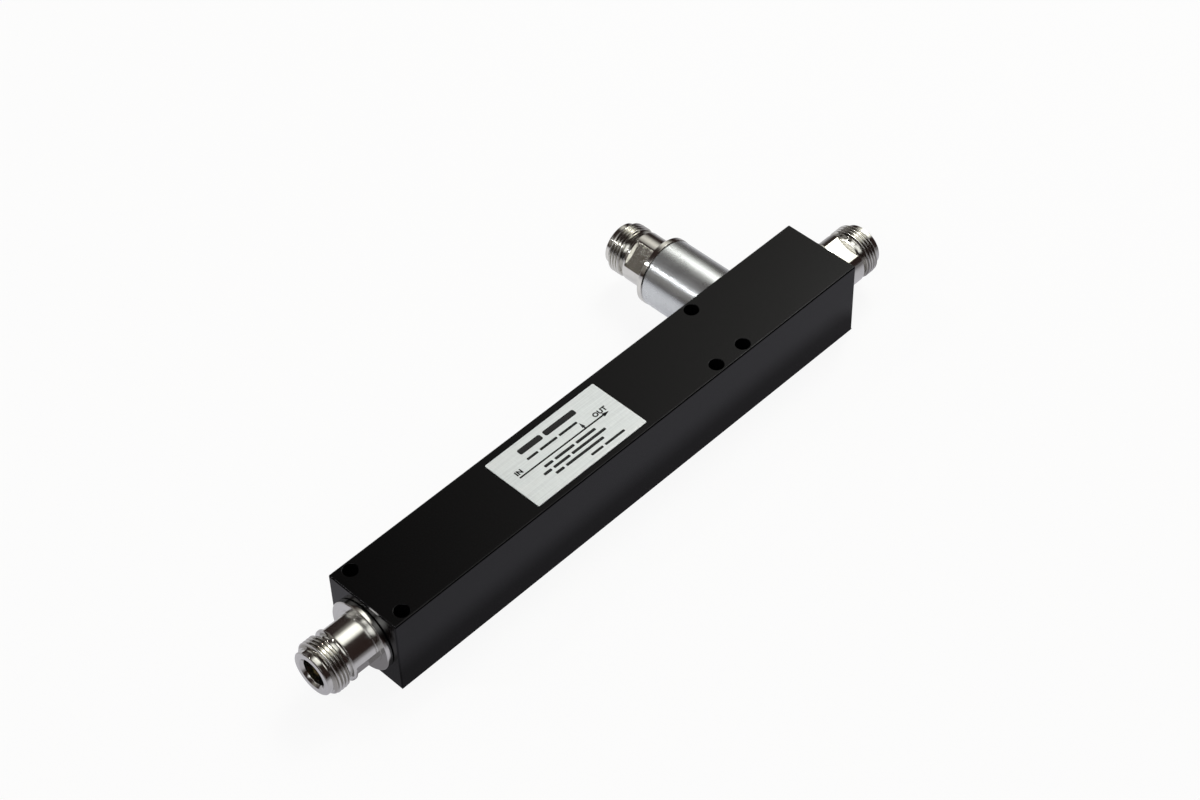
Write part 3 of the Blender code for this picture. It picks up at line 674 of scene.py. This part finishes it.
def add_object(name, mesh):
    made = bpy.data.objects.new(name, mesh)
    bpy.context.scene.collection.objects.link(made)
    return made


def settle(made):
    """Leaves what the object's modifiers make as its plain mesh."""
    bpy.context.view_layer.update()
    graph = bpy.context.evaluated_depsgraph_get()
    mesh = bpy.data.meshes.new_from_object(made.evaluated_get(graph), depsgraph=graph)
    made.modifiers.clear()
    made.data = mesh
    return made


def cut(made, *tools):
    """Takes the tools' shapes out of the object, and removes the tools."""
    for tool in tools:
        taken = made.modifiers.new("cut", "BOOLEAN")
        taken.operation = "DIFFERENCE"
        taken.solver = "EXACT"
        taken.object = tool
    settle(made)
    for tool in tools:
        bpy.data.objects.remove(tool)


def dress(made, finish, node):
    """Shades the piece evenly, gives it its finish, and lets it stand for its CAD node."""
    if finish:
        made.data.materials.clear()
        made.data.materials.append(finish)
    made.data.shade_smooth()
    made.data.set_sharp_from_angle(angle=SHARP_ANGLE)
    even = made.modifiers.new("even shading", "WEIGHTED_NORMAL")
    even.keep_sharp = True
    settle(made)
    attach(made, "root")
    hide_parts(node)


# Jack


def spigot_outline(radius, length):
    return [(radius, 0.0), (radius, EDGE_BREAK - length), (radius - EDGE_BREAK, -length)]


def seal_groove_outline():
    outer = SEAL_R + SEAL_GROOVE_HALF
    inner = SEAL_R - SEAL_GROOVE_HALF
    return [(outer, 0.0), (outer, SEAL_GROOVE_DEPTH), (inner, SEAL_GROOVE_DEPTH), (inner, 0.0)]


def shell_outline():
    """From the thread's front end in over the nose and the socket, round the spigot and the flange,
    and up to the undercut, where the thread starts."""
    nose = [
        (NOSE_R, THREAD_TOP),
        (NOSE_R, JACK_FACE - EDGE_BREAK),
        (NOSE_R - EDGE_BREAK, JACK_FACE),
        (MOUTH_R, JACK_FACE),
        (SOCKET_R, JACK_FACE - MOUTH_DEPTH),
        (SOCKET_R, LIP_TOP),
        (LIP_R, LIP_TOP),
        (LIP_R, LIP_BOTTOM),
        (POCKET_R, LIP_BOTTOM),
        (POCKET_R, RING_SETBACK / 2),
        (SPIGOT_BORE_R, 0.0),
        (SPIGOT_BORE_R, -SPIGOT_LENGTH),
    ]
    flange = [
        (FLANGE_R - EDGE_BREAK, 0.0),
        (FLANGE_R, EDGE_BREAK),
        (FLANGE_R, FLANGE_THICKNESS - EDGE_BREAK),
        (FLANGE_R - EDGE_BREAK, FLANGE_THICKNESS),
        (BOSS_R, FLANGE_THICKNESS),
        (BOSS_R, LEDGE_TOP),
        (BOSS_R, BOSS_TOP - BOSS_STEP / 2),
        (BOSS_R - BOSS_STEP / 2, BOSS_TOP),
        (COLLAR_R, BOSS_TOP),
        (COLLAR_R, FLAT_TOP - SEAT_GAP),
        (COLLAR_R, FLAT_TOP),
        (COLLAR_R, FLAT_TOP + FLAT_RIM_EDGE),
        (COLLAR_R, COLLAR_TOP - COLLAR_CHAMFER),
        (COLLAR_R - COLLAR_CHAMFER, COLLAR_TOP),
        (UNDERCUT_R, COLLAR_TOP),
        (UNDERCUT_R, THREAD_BOTTOM),
    ]
    spigot = spigot_outline(SPIGOT_R, SPIGOT_LENGTH)[::-1]
    return nose + spigot + seal_groove_outline()[::-1] + flange


def flat_rule(radius, height, angle):
    """Holds the boss and the collar inside the two wrench flats, below a rim with its edge broken."""
    across = FLAT_R / max(abs(math.cos(angle)), MERGE_DISTANCE)
    if radius < FLAT_R or across > radius or not LEDGE_TOP < height <= FLAT_TOP:
        return radius
    return across if height < FLAT_TOP else max(across, radius - FLAT_RIM_EDGE)


def thread_tree(finish):
    """Joins a body with a helical thread, made as a sheet whose rows climb one pitch a turn."""
    tree = bpy.data.node_groups.new("jack_thread", "GeometryNodeTree")
    add_socket = tree.interface.new_socket
    add_socket("Body", in_out="INPUT", socket_type="NodeSocketGeometry")
    sizes = {
        "Pitch": THREAD_PITCH,
        "Crest Radius": THREAD_R,
        "Low End": THREAD_BOTTOM,
        "High End": THREAD_TOP,
        "Low Foot Radius": UNDERCUT_R,
        "High Foot Radius": NOSE_R,
        "Back Chamfer": THREAD_BACK_CHAMFER,
        "Front Chamfer": THREAD_FRONT_CHAMFER,
        "Ease": THREAD_EASE,
    }
    for name in sizes:
        add_socket(name, in_out="INPUT", socket_type="NodeSocketFloat")
    for name in ("Columns", "Rows a Pitch"):
        add_socket(name, in_out="INPUT", socket_type="NodeSocketInt")
    add_socket("Finish", in_out="INPUT", socket_type="NodeSocketMaterial")
    add_socket("Piece", in_out="OUTPUT", socket_type="NodeSocketGeometry")
    given = wire(tree, "NodeGroupInput").outputs
    pitch, crest, low, high = (given[n] for n in ("Pitch", "Crest Radius", "Low End", "High End"))
    ease = given["Ease"]

    def sums(operation, *values):
        return calc(tree, operation, *values)

    def chosen(flag, value, otherwise):
        return weighted(tree, (otherwise, sums("SUBTRACT", 1.0, flag)), (value, flag))

    row_gap = sums("DIVIDE", pitch, given["Rows a Pitch"])
    reach = sums("ADD", sums("SUBTRACT", high, low), pitch)
    climbing = sums("CEIL", sums("DIVIDE", reach, row_gap))
    last = sums("ADD", climbing, 2.0)
    across = sums("ADD", given["Columns"], 1.0)
    grid = wire(tree, "GeometryNodeMeshGrid", {"Size X": 1.0, "Size Y": 1.0})
    tree.links.new(across, grid.inputs["Vertices X"])
    tree.links.new(sums("ADD", last, 1.0), grid.inputs["Vertices Y"])
    spot = wire(tree, "GeometryNodeInputPosition").outputs[0]
    parts = wire(tree, "ShaderNodeSeparateXYZ", {0: spot}).outputs
    turn = sums("ADD", parts[0], 0.5)
    row = sums("ROUND", sums("MULTIPLY", sums("ADD", parts[1], 0.5), last))
    climb = sums("MULTIPLY", pitch, sums("SUBTRACT", turn, 1.0))
    rise = sums("ADD", climb, sums("MULTIPLY", sums("SUBTRACT", row, 1.0), row_gap))
    height = sums("MINIMUM", sums("MAXIMUM", sums("ADD", low, rise), low), high)
    phase = sums("FRACT", sums("SUBTRACT", sums("DIVIDE", height, pitch), turn))
    off_groove = sums("MULTIPLY", sums("ABSOLUTE", sums("SUBTRACT", phase, 0.5)), pitch)

    # A 60 degree form, with a flat crest and a root that are shares of the pitch wide and deep
    crest_edge = sums("MULTIPLY", pitch, (1 - THREAD_CREST_SHARE) / 2)
    root = sums("SUBTRACT", crest, sums("MULTIPLY", pitch, THREAD_DEPTH_SHARE))
    drop = sums("MULTIPLY", sums("SUBTRACT", crest_edge, off_groove), math.sqrt(3))
    radius = sums("SMOOTH_MAX", sums("SUBTRACT", crest, drop), root, ease)
    radius = sums("SMOOTH_MIN", radius, crest, ease)
    back = sums("ADD", sums("SUBTRACT", crest, given["Back Chamfer"]), sums("SUBTRACT", height, low))
    front = sums("ADD", sums("SUBTRACT", crest, given["Front Chamfer"]), sums("SUBTRACT", high, height))
    radius = sums("SMOOTH_MIN", sums("SMOOTH_MIN", radius, back, ease), front, ease)

    # The last and the first row close the sheet at the nose and at the undercut
    at_last = sums("GREATER_THAN", row, sums("SUBTRACT", last, 0.5))
    at_first = sums("LESS_THAN", row, 0.5)
    ends = ((at_last, given["High Foot Radius"], high), (at_first, given["Low Foot Radius"], low))
    for at_end, foot, level in ends:
        radius = chosen(at_end, foot, radius)
        height = chosen(at_end, level, height)
    angle = sums("MULTIPLY", turn, 2 * math.pi)
    x = sums("MULTIPLY", radius, sums("COSINE", angle))
    y = sums("MULTIPLY", radius, sums("SINE", angle))
    new_spot = wire(tree, "ShaderNodeCombineXYZ", {0: x, 1: y, 2: height}).outputs[0]
    sheet = wire(tree, "GeometryNodeSetPosition", {"Geometry": grid.outputs["Mesh"], "Position": new_spot})
    joined = wire(tree, "GeometryNodeJoinGeometry")
    tree.links.new(sheet.outputs[0], joined.inputs[0])
    tree.links.new(given["Body"], joined.inputs[0])
    inputs = {"Geometry": joined.outputs[0], "Distance": MERGE_DISTANCE}
    merged = wire(tree, "GeometryNodeMergeByDistance", inputs)
    real = wire(tree, "GeometryNodeRealizeInstances", {"Geometry": merged.outputs[0]})
    inputs = {"Geometry": real.outputs[0], "Material": given["Finish"]}
    painted = wire(tree, "GeometryNodeSetMaterial", inputs)
    tree.links.new(painted.outputs[0], wire(tree, "NodeGroupOutput").inputs["Piece"])

    values = {**sizes, "Columns": SHELL_COLUMNS, "Rows a Pitch": THREAD_ROWS_A_PITCH, "Finish": finish}
    return tree, values


def run_tree(made, tree, values):
    """Runs a node tree on the object with its named inputs set, and leaves the result as its mesh."""
    modifier = made.modifiers.new(tree.name, "NODES")
    modifier.node_group = tree
    for item in tree.interface.items_tree:
        if item.in_out == "INPUT" and item.name in values:
            modifier[item.identifier] = values[item.name]
    settle(made)


def make_turned(name, outline, columns, place, finish, node):
    """A closed turned piece, from its outline to the CAD node that it stands for."""
    made = add_object(name, to_mesh(lathe(outline, columns), name, place))
    dress(made, finish, node)


def make_shell(prefix, finish):
    name = prefix + "_shell"
    outline = shell_outline()
    ledge = outline.index((BOSS_R, LEDGE_TOP))
    outline = [
        *eased(outline[:ledge], SHELL_CORNER_R, closed=False),
        (BOSS_R, LEDGE_TOP),
        (BOSS_R, LEDGE_TOP + SEAT_GAP),
        *eased(outline[ledge:], SHELL_CORNER_R, closed=False)[1:],
    ]
    body = lathe(outline, SHELL_COLUMNS, closed=False, rule=flat_rule)
    shell = add_object(name, to_mesh(body, name))
    tree, values = thread_tree(finish)
    run_tree(shell, tree, values)
    bpy.data.node_groups.remove(tree)
    shape = bmesh.new()
    shape.from_mesh(shell.data)
    place = PORTS[prefix] @ Matrix.Rotation(FLAT_TURNS[prefix], 4, "Z")
    shell.data = to_mesh(shape, name, place)
    dress(shell, finish, prefix + "_jack_shell")


def make_insulator(prefix, finish):
    shoulder = LIP_BOTTOM - SEAT_GAP
    bottom = RING_TOP + SEAT_GAP
    hole = CONTACT_WAIST_R + FIT_GAP
    outline = [
        (LIP_R - FIT_GAP, LIP_TOP),
        (LIP_R - FIT_GAP, shoulder),
        (POCKET_R - FIT_GAP, shoulder),
        (POCKET_R - FIT_GAP, bottom),
        (hole, bottom),
        (hole, LIP_TOP),
    ]
    make_turned(
        prefix + "_insulator", eased(outline, TURNED_CORNER_R), TURNED_COLUMNS, PORTS[prefix],
        finish, prefix + "_jack_insulator",
    )


def make_ring(prefix, finish):
    outer = POCKET_R - FIT_GAP
    inner = outer - RING_WALL
    outline = [(outer, RING_TOP), (outer, RING_SETBACK), (inner, RING_SETBACK), (inner, RING_TOP)]
    make_turned(
        prefix + "_ring", eased(outline, RING_CORNER_R), TURNED_COLUMNS, PORTS[prefix],
        finish, prefix + "_insulator_ring",
    )


def make_contact(prefix, finish):
    tail = -CONTACT_TAIL_LENGTH
    floor = CONTACT_TIP - CONTACT_PIN_DEPTH
    shoulder = LIP_TOP + SEAT_GAP
    outline = [
        (0.0, floor - CONTACT_EDGE_BREAK),
        (CONTACT_PIN_R, floor),
        (CONTACT_PIN_R, CONTACT_TIP - CONTACT_EDGE_BREAK),
        (CONTACT_PIN_R + CONTACT_EDGE_BREAK, CONTACT_TIP),
        (CONTACT_R - CONTACT_EDGE_BREAK, CONTACT_TIP),
        (CONTACT_R, CONTACT_TIP - CONTACT_EDGE_BREAK),
        (CONTACT_R, shoulder),
        (CONTACT_WAIST_R, shoulder),
        (CONTACT_WAIST_R, tail + CONTACT_EDGE_BREAK),
        (CONTACT_WAIST_R - CONTACT_EDGE_BREAK, tail),
        (0.0, tail),
    ]
    name = prefix + "_contact"
    shape = lathe(eased(outline, TURNED_CORNER_R, closed=False), CONTACT_COLUMNS, closed=False)
    contact = add_object(name, to_mesh(shape, name))
    reach = CONTACT_R + OVERCUT
    half = CONTACT_SLOT_WIDTH / 2
    tools = []
    for turn in (0.0, math.pi / 2):
        low = (-reach, -half, CONTACT_TIP - CONTACT_SLOT_LENGTH)
        turned = Matrix.Rotation(math.pi / CONTACT_COLUMNS + turn, 4, "Z")
        slot = to_mesh(box_shape(low, (reach, half, CONTACT_TIP + OVERCUT)), "slot", turned)
        tools.append(add_object("slot", slot))
    cut(contact, *tools)
    contact.data.transform(PORTS[prefix])
    dress(contact, finish, prefix + "_centre_contact")


def make_seal(name, port, node, finish):
    outline = []
    for step in range(SEAL_STEPS):
        angle = 2 * math.pi * step / SEAL_STEPS
        outline.append((SEAL_R + SEAL_SECTION_R * math.sin(angle), SEAL_SECTION_R * (1 + math.cos(angle))))
    make_turned(name, outline, TURNED_COLUMNS, port, finish, node)


# Barrel


def make_barrel(finish):
    outline = [
        (BARREL_R - EDGE_BREAK, BARREL_LENGTH),
        (BARREL_R, BARREL_LENGTH - EDGE_BREAK),
        (BARREL_R, EDGE_BREAK),
        (BARREL_R - EDGE_BREAK, 0.0),
        *seal_groove_outline(),
        *spigot_outline(BARREL_SPIGOT_R, BARREL_SPIGOT_LENGTH),
        (BARREL_SPIGOT_BORE_R, -BARREL_SPIGOT_LENGTH),
        (BARREL_SPIGOT_BORE_R, BARREL_FLOOR),
        (LINE_BORE_R, BARREL_FLOOR),
        (LINE_BORE_R, BARREL_LENGTH),
    ]
    outline = eased(outline, TURNED_CORNER_R)
    make_turned("barrel", outline, SHELL_COLUMNS, PORTS["side"], finish, "tap_barrel")


# Bar


def drill(name, radius, rim, low, high, place):
    """A drill's shape with a flare at both faces, which leaves the hole's rims rounded."""
    outline = [(0.0, high + OVERCUT), (radius + rim, high + OVERCUT)]
    for step in range(RIM_STEPS + 1):
        angle = math.pi / 2 * (1 - step / RIM_STEPS)
        outline.append((radius + rim - rim * math.cos(angle), high - rim + rim * math.sin(angle)))
    for step in range(RIM_STEPS + 1):
        angle = math.pi / 2 * step / RIM_STEPS
        outline.append((radius + rim - rim * math.cos(angle), low + rim - rim * math.sin(angle)))
    outline += [(radius + rim, low - OVERCUT), (0.0, low - OVERCUT)]
    return add_object(name, to_mesh(lathe(outline, TURNED_COLUMNS, closed=False), name, place))


def make_bar(finish):
    shape = box_shape((-BAR_END, -BAR_SIDE, 0.0), (BAR_END, BAR_SIDE, BAR_HEIGHT))
    foot = [e for e in shape.edges if all(v.co.z < AXIS_HEIGHT for v in e.verts)]
    bmesh.ops.bevel(shape, geom=foot, offset=BAR_FOOT_EDGE_BREAK, segments=2, profile=0.5, affect="EDGES")
    others = [e for e in shape.edges if any(v.co.z > AXIS_HEIGHT for v in e.verts)]
    bmesh.ops.bevel(shape, geom=others, offset=BAR_EDGE_BREAK, segments=4, profile=0.3, affect="EDGES")
    bar = add_object("bar", to_mesh(shape, "bar"))
    side = BAR_SIDE - SCREW_HOLE_SIDE_INSET
    in_x = -BAR_END + SCREW_HOLE_IN_INSET
    out_x = BAR_END - SCREW_HOLE_OUT_INSET
    odd_x = out_x - SCREW_HOLE_ODD_STEP
    tools = []
    for x, y in ((in_x, side), (in_x, -side), (out_x, side), (out_x, -side), (odd_x, -side)):
        place = Matrix.Translation((x, y, 0))
        tools.append(drill("screw_hole", SCREW_HOLE_R, HOLE_RIM, 0.0, BAR_HEIGHT, place))
    along = Matrix.Translation((0, 0, AXIS_HEIGHT)) @ Matrix.Rotation(math.pi / 2, 4, "Y")
    tools.append(drill("line_bore", LINE_BORE_R, HOLE_RIM, -BAR_END, BAR_END, along))
    cut(bar, *tools)
    tap_r = BARREL_SPIGOT_R + FIT_GAP
    outline = [(0.0, BAR_SIDE + OVERCUT), (tap_r, BAR_SIDE + OVERCUT), (tap_r, 0.0), (0.0, 0.0)]
    across = Matrix.Translation((TAP_X, 0, AXIS_HEIGHT)) @ Matrix.Rotation(-math.pi / 2, 4, "X")
    tap_bore = to_mesh(lathe(outline, TURNED_COLUMNS, closed=False), "tap_bore", across)
    cut(bar, add_object("tap_bore", tap_bore))
    dress(bar, finish, "housing")


# Label


def extruded(points, low, high):
    """A flat outline given a thickness."""
    shape = bmesh.new()
    face = shape.faces.new([shape.verts.new((x, y, low)) for x, y in points])
    grown = bmesh.ops.extrude_face_region(shape, geom=[face])["geom"]
    moved = [v for v in grown if isinstance(v, bmesh.types.BMVert)]
    bmesh.ops.translate(shape, vec=(0, 0, high - low), verts=moved)
    bmesh.ops.recalc_face_normals(shape, faces=shape.faces)
    return shape


def round_box(x0, y0, x1, y1, radius, steps=6):
    """A rectangle's outline with round corners."""
    points = []
    for x, y, start in ((x1, y1, 0), (x0, y1, 90), (x0, y0, 180), (x1, y0, 270)):
        cx = x - radius if x == x1 else x + radius
        cy = y - radius if y == y1 else y + radius
        for step in range(steps + 1):
            angle = math.radians(start + 90 * step / steps)
            points.append((cx + radius * math.cos(angle), cy + radius * math.sin(angle)))
    return points


def written(word, x):
    """A plain word as a flat mesh above the flow line, its left edge at x."""
    letters = bpy.data.curves.new(word, "FONT")
    letters.body = word
    letters.size = WORD_HEIGHT / CAPITAL_SHARE
    letters.offset = WORD_WEIGHT
    letters.space_character = LETTER_SPACING
    letters.extrude = INK_THICKNESS / 2
    letters.resolution_u = LETTER_STEPS
    made = add_object("word_" + word, letters)
    bpy.context.view_layer.update()
    graph = bpy.context.evaluated_depsgraph_get()
    mesh = bpy.data.meshes.new_from_object(made.evaluated_get(graph))
    bpy.data.objects.remove(made)
    shape = bmesh.new()
    shape.from_mesh(mesh)
    bpy.data.meshes.remove(mesh)
    bmesh.ops.translate(shape, vec=(x, WORD_BASE, 0), verts=shape.verts)
    return shape


def print_shapes():
    """The flow line from IN to OUT, a small arrow off it to the tap, and bars for lines of writing."""

    def printed(outline):
        return extruded(outline, -INK_THICKNESS / 2, INK_THICKNESS / 2)

    flow_neck = FLOW_END - FLOW_HEAD
    neck = BRANCH_TOP - BRANCH_HEAD
    stem = (BRANCH_X - STROKE_HALF, BRANCH_X + STROKE_HALF)
    head = (BRANCH_X - BRANCH_HEAD_HALF, BRANCH_X + BRANCH_HEAD_HALF)
    shapes = [
        printed(round_box(FLOW_START, -STROKE_HALF, FLOW_END - FLOW_HEAD / 2, STROKE_HALF, STROKE_HALF / 2)),
        printed([(flow_neck, -FLOW_HEAD_HALF), (FLOW_END, 0.0), (flow_neck, FLOW_HEAD_HALF)]),
        printed(round_box(stem[0], -STROKE_HALF / 2, stem[1], neck, STROKE_HALF / 2)),
        printed([(head[0], neck), (head[1], neck), (BRANCH_X, BRANCH_TOP)]),
        written("IN", FLOW_START),
        written("OUT", OUT_WORD_X),
    ]
    for y, height, spans in BAR_LINES:
        for x0, x1 in spans:
            shapes.append(printed(round_box(x0, y - height / 2, x1, y + height / 2, height * BAR_ROUNDING)))
    return shapes


def make_label(foil, ink):
    foil_bottom = BAR_HEIGHT + SEAT_GAP
    foil_top = foil_bottom + LABEL_THICKNESS - INK_THICKNESS
    outline = round_box(
        LABEL_OFFSET - LABEL_LENGTH / 2, LABEL_SIDE_OFFSET - LABEL_WIDTH / 2,
        LABEL_OFFSET + LABEL_LENGTH / 2, LABEL_SIDE_OFFSET + LABEL_WIDTH / 2, LABEL_CORNER_R,
    )
    plate = extruded(outline, foil_bottom, foil_top)
    rim = [e for e in plate.edges if all(v.co.z > foil_top - SEAT_GAP for v in e.verts)]
    bmesh.ops.bevel(plate, geom=rim, offset=LABEL_EDGE_BREAK, segments=2, profile=0.5, affect="EDGES")

    centre = Matrix.Translation((LABEL_OFFSET, PRINT_SIDE_OFFSET, foil_top + INK_THICKNESS / 2))
    print_place = centre @ Matrix.Rotation(PRINT_TURN, 4, "Z")
    label = bmesh.new()
    for number, shape in enumerate([plate, *print_shapes()]):
        if number:
            bmesh.ops.transform(shape, matrix=print_place, verts=shape.verts)
        for face in shape.faces:
            face.material_index = 1 if number else 0
        part = bpy.data.meshes.new("part")
        shape.to_mesh(part)
        shape.free()
        label.from_mesh(part)
        bpy.data.meshes.remove(part)
    mesh = bpy.data.meshes.new("foil_label")
    label.to_mesh(mesh)
    label.free()
    made = add_object("foil_label", mesh)
    mesh.materials.append(foil)
    mesh.materials.append(ink)
    dress(made, None, "label_plate")


# Studio


def softbox(name, towards, distance, size, radiance, colour, faded_share):
    """An area lamp that faces the object from a direction, given by how bright its face looks.
    Its light fades towards the rims, over a share of each side."""
    lamp = bpy.data.lights.new(name, "AREA")
    lamp.shape = "RECTANGLE"
    lamp.size, lamp.size_y = size
    lamp.energy = radiance * math.pi * size[0] * size[1]
    lamp.color = colour
    lamp.use_nodes = True
    tree = lamp.node_tree
    across = wire(tree, "ShaderNodeNewGeometry").outputs["Parametric"]
    parts = wire(tree, "ShaderNodeSeparateXYZ", {0: across}).outputs
    faded = 1.0
    for part in (parts[0], parts[1]):
        inset = calc(tree, "SUBTRACT", 0.5, calc(tree, "ABSOLUTE", calc(tree, "SUBTRACT", part, 0.5)))
        inputs = {"Value": inset, "From Min": 0.0, "From Max": faded_share}
        eased_in = wire(tree, "ShaderNodeMapRange", inputs, interpolation_type="SMOOTHSTEP").outputs["Result"]
        faded = calc(tree, "MULTIPLY", faded, eased_in)
    tree.links.new(faded, tree.nodes["Emission"].inputs["Strength"])
    made = bpy.data.objects.new(name, lamp)
    bpy.context.scene.collection.objects.link(made)
    direction = Vector(towards).normalized()
    made.location = direction * distance + Vector((0, 0, AXIS_HEIGHT))
    made.rotation_mode = "QUATERNION"
    made.rotation_quaternion = direction.to_track_quat("Z", "Y")


def paper_with_painted_shade(tree, place):
    """The paper as the metal mirrors it, with painted shade: a painted shadow right under the part, a painted
    pool of light in front of the bar and behind it, and painted dimming further off."""
    parts = wire(tree, "ShaderNodeSeparateXYZ", {0: place}).outputs
    past_end = calc(tree, "MAXIMUM", calc(tree, "SUBTRACT", calc(tree, "ABSOLUTE", parts[0]), BAR_END), 0.0)
    past_end = calc(tree, "MULTIPLY", past_end, FLOOR_END_WEIGHT)
    away = wire(tree, "ShaderNodeCombineXYZ", {0: past_end, 1: parts[1]}).outputs[0]
    away = wire(tree, "ShaderNodeVectorMath", {0: away}, operation="LENGTH").outputs["Value"]
    front = blend(tree, spread(tree, away, 0.045, 0.12), (0.68, 0.67, 0.735), (0.22, 0.21, 0.22))
    behind = blend(tree, spread(tree, parts[0], -0.1, 0.0), (0.6, 0.59, 0.63), (0.97, 0.96, 1.0))
    behind = blend(tree, spread(tree, parts[0], 0.06, 0.17), behind, (0.2, 0.19, 0.2))
    further = blend(tree, spread(tree, parts[1], 0.02, 0.032), front, behind)
    # A painted shadow close beside the bar and under the jacks
    return blend(tree, spread(tree, away, 0.0165, 0.0215), (0.33, 0.32, 0.345), further)


def make_floor():
    """Pale paper. The camera sees it nearly white with a faint shadow, and metal sees it greyer, with painted
    shade and a painted pool of light.
    """
    shape = bmesh.new()
    half = FLOOR_HALF
    corners = ((-half, -half), (half, -half), (half, half), (-half, half))
    shape.faces.new([shape.verts.new((x, y, -FLOOR_DROP)) for x, y in corners])
    floor = add_object("floor", to_mesh(shape, "floor"))
    paper = bpy.data.materials.new("white_paper")
    paper.use_nodes = True
    tree = paper.node_tree
    tree.nodes.clear()
    path = wire(tree, "ShaderNodeLightPath").outputs
    reflected = calc(tree, "MAXIMUM", path["Is Glossy Ray"], path["Is Transmission Ray"])
    # Reflected rays see the painted shade and painted pool of light, in the paper's colour and in its glow
    painted_mirror_shade = paper_with_painted_shade(tree, wire(tree, "ShaderNodeTexCoord").outputs["Object"])
    colour = blend(tree, reflected, (0.95, 0.95, 0.955), painted_mirror_shade)
    matt = wire(tree, "ShaderNodeBsdfDiffuse", {"Color": colour}).outputs[0]
    glow = blend(tree, reflected, (1, 1, 1), painted_mirror_shade)
    white = wire(tree, "ShaderNodeEmission", {"Color": glow, "Strength": 1.0}).outputs[0]
    share = weighted(tree, (path["Is Camera Ray"], CAMERA_GLOW), (reflected, MIRROR_GLOW))
    both = wire(tree, "ShaderNodeMixShader", {0: share, 1: matt, 2: white}).outputs[0]
    wire(tree, "ShaderNodeOutputMaterial", {"Surface": both})
    floor.data.materials.append(paper)


def make_room():
    """White behind the object where the camera looks, and a dim warm room round it."""
    world = bpy.data.worlds.new("room")
    bpy.context.scene.world = world
    world.use_nodes = True
    tree = world.node_tree
    tree.nodes.clear()
    path = wire(tree, "ShaderNodeLightPath").outputs
    dim = wire(tree, "ShaderNodeBackground", {"Color": (0.03, 0.019, 0.017, 1), "Strength": 1.0}).outputs[0]
    white = wire(tree, "ShaderNodeBackground", {"Color": (1, 1, 1, 1), "Strength": 1.0}).outputs[0]
    both = wire(tree, "ShaderNodeMixShader", {0: path["Is Camera Ray"], 1: dim, 2: white}).outputs[0]
    wire(tree, "ShaderNodeOutputWorld", {"Surface": both})


def make_camera():
    back = CAMERA_RIGHT.cross(CAMERA_UP)
    data = bpy.data.cameras.new("camera")
    data.lens = LENS
    data.sensor_width = SENSOR_WIDTH
    data.sensor_fit = "HORIZONTAL"
    data.clip_start = CLIP_NEAR
    data.clip_end = CLIP_FAR
    camera = bpy.data.objects.new("camera", data)
    bpy.context.scene.collection.objects.link(camera)
    turned = Matrix((CAMERA_RIGHT, CAMERA_UP, back)).transposed().to_4x4()
    camera.matrix_world = Matrix.Translation(CAMERA_PLACE) @ turned
    bpy.context.scene.camera = camera


# Putting it together

kept = set(frame["nodes"].values()) | set(frame["bodies"].values())
for old in list(bpy.data.objects):
    if old not in kept:
        bpy.data.objects.remove(old)

make_bar(black_anodised())
make_label(brushed_foil(), black_ink())
make_barrel(turned_aluminium())
ptfe = white_ptfe()
rubber = black_rubber()
for prefix in ("in", "out", "tap"):
    make_shell(prefix, bright_nickel(prefix))
    make_insulator(prefix, ptfe)
    make_ring(prefix, turned_brass(prefix))
    make_contact(prefix, gilt(prefix))
    make_seal(prefix + "_seal", PORTS[prefix], prefix + "_flange_seal", rubber)
make_seal("barrel_seal", PORTS["side"], "tap_barrel_seal", rubber)

# The rods and their beads keep the shapes that the frame brings
carried = {
    "line_rod": silver_plate("line", port_place(0, 0, AXIS_HEIGHT, Vector((1, 0, 0)))),
    "tap_rod": silver_plate("tap", port_place(TAP_X, 0, AXIS_HEIGHT, Vector((0, 1, 0)))),
    "line_bead_in": ptfe,
    "line_bead_out": ptfe,
}
for node, finish in carried.items():
    materials = frame["nodes"][node].data.materials
    materials.clear()
    materials.append(finish)

for lamp in LAMPS:
    softbox(*lamp)
make_floor()
make_room()
make_camera()
bpy.context.scene.view_settings.view_transform = "Standard"

bpy.context.view_layer.update()
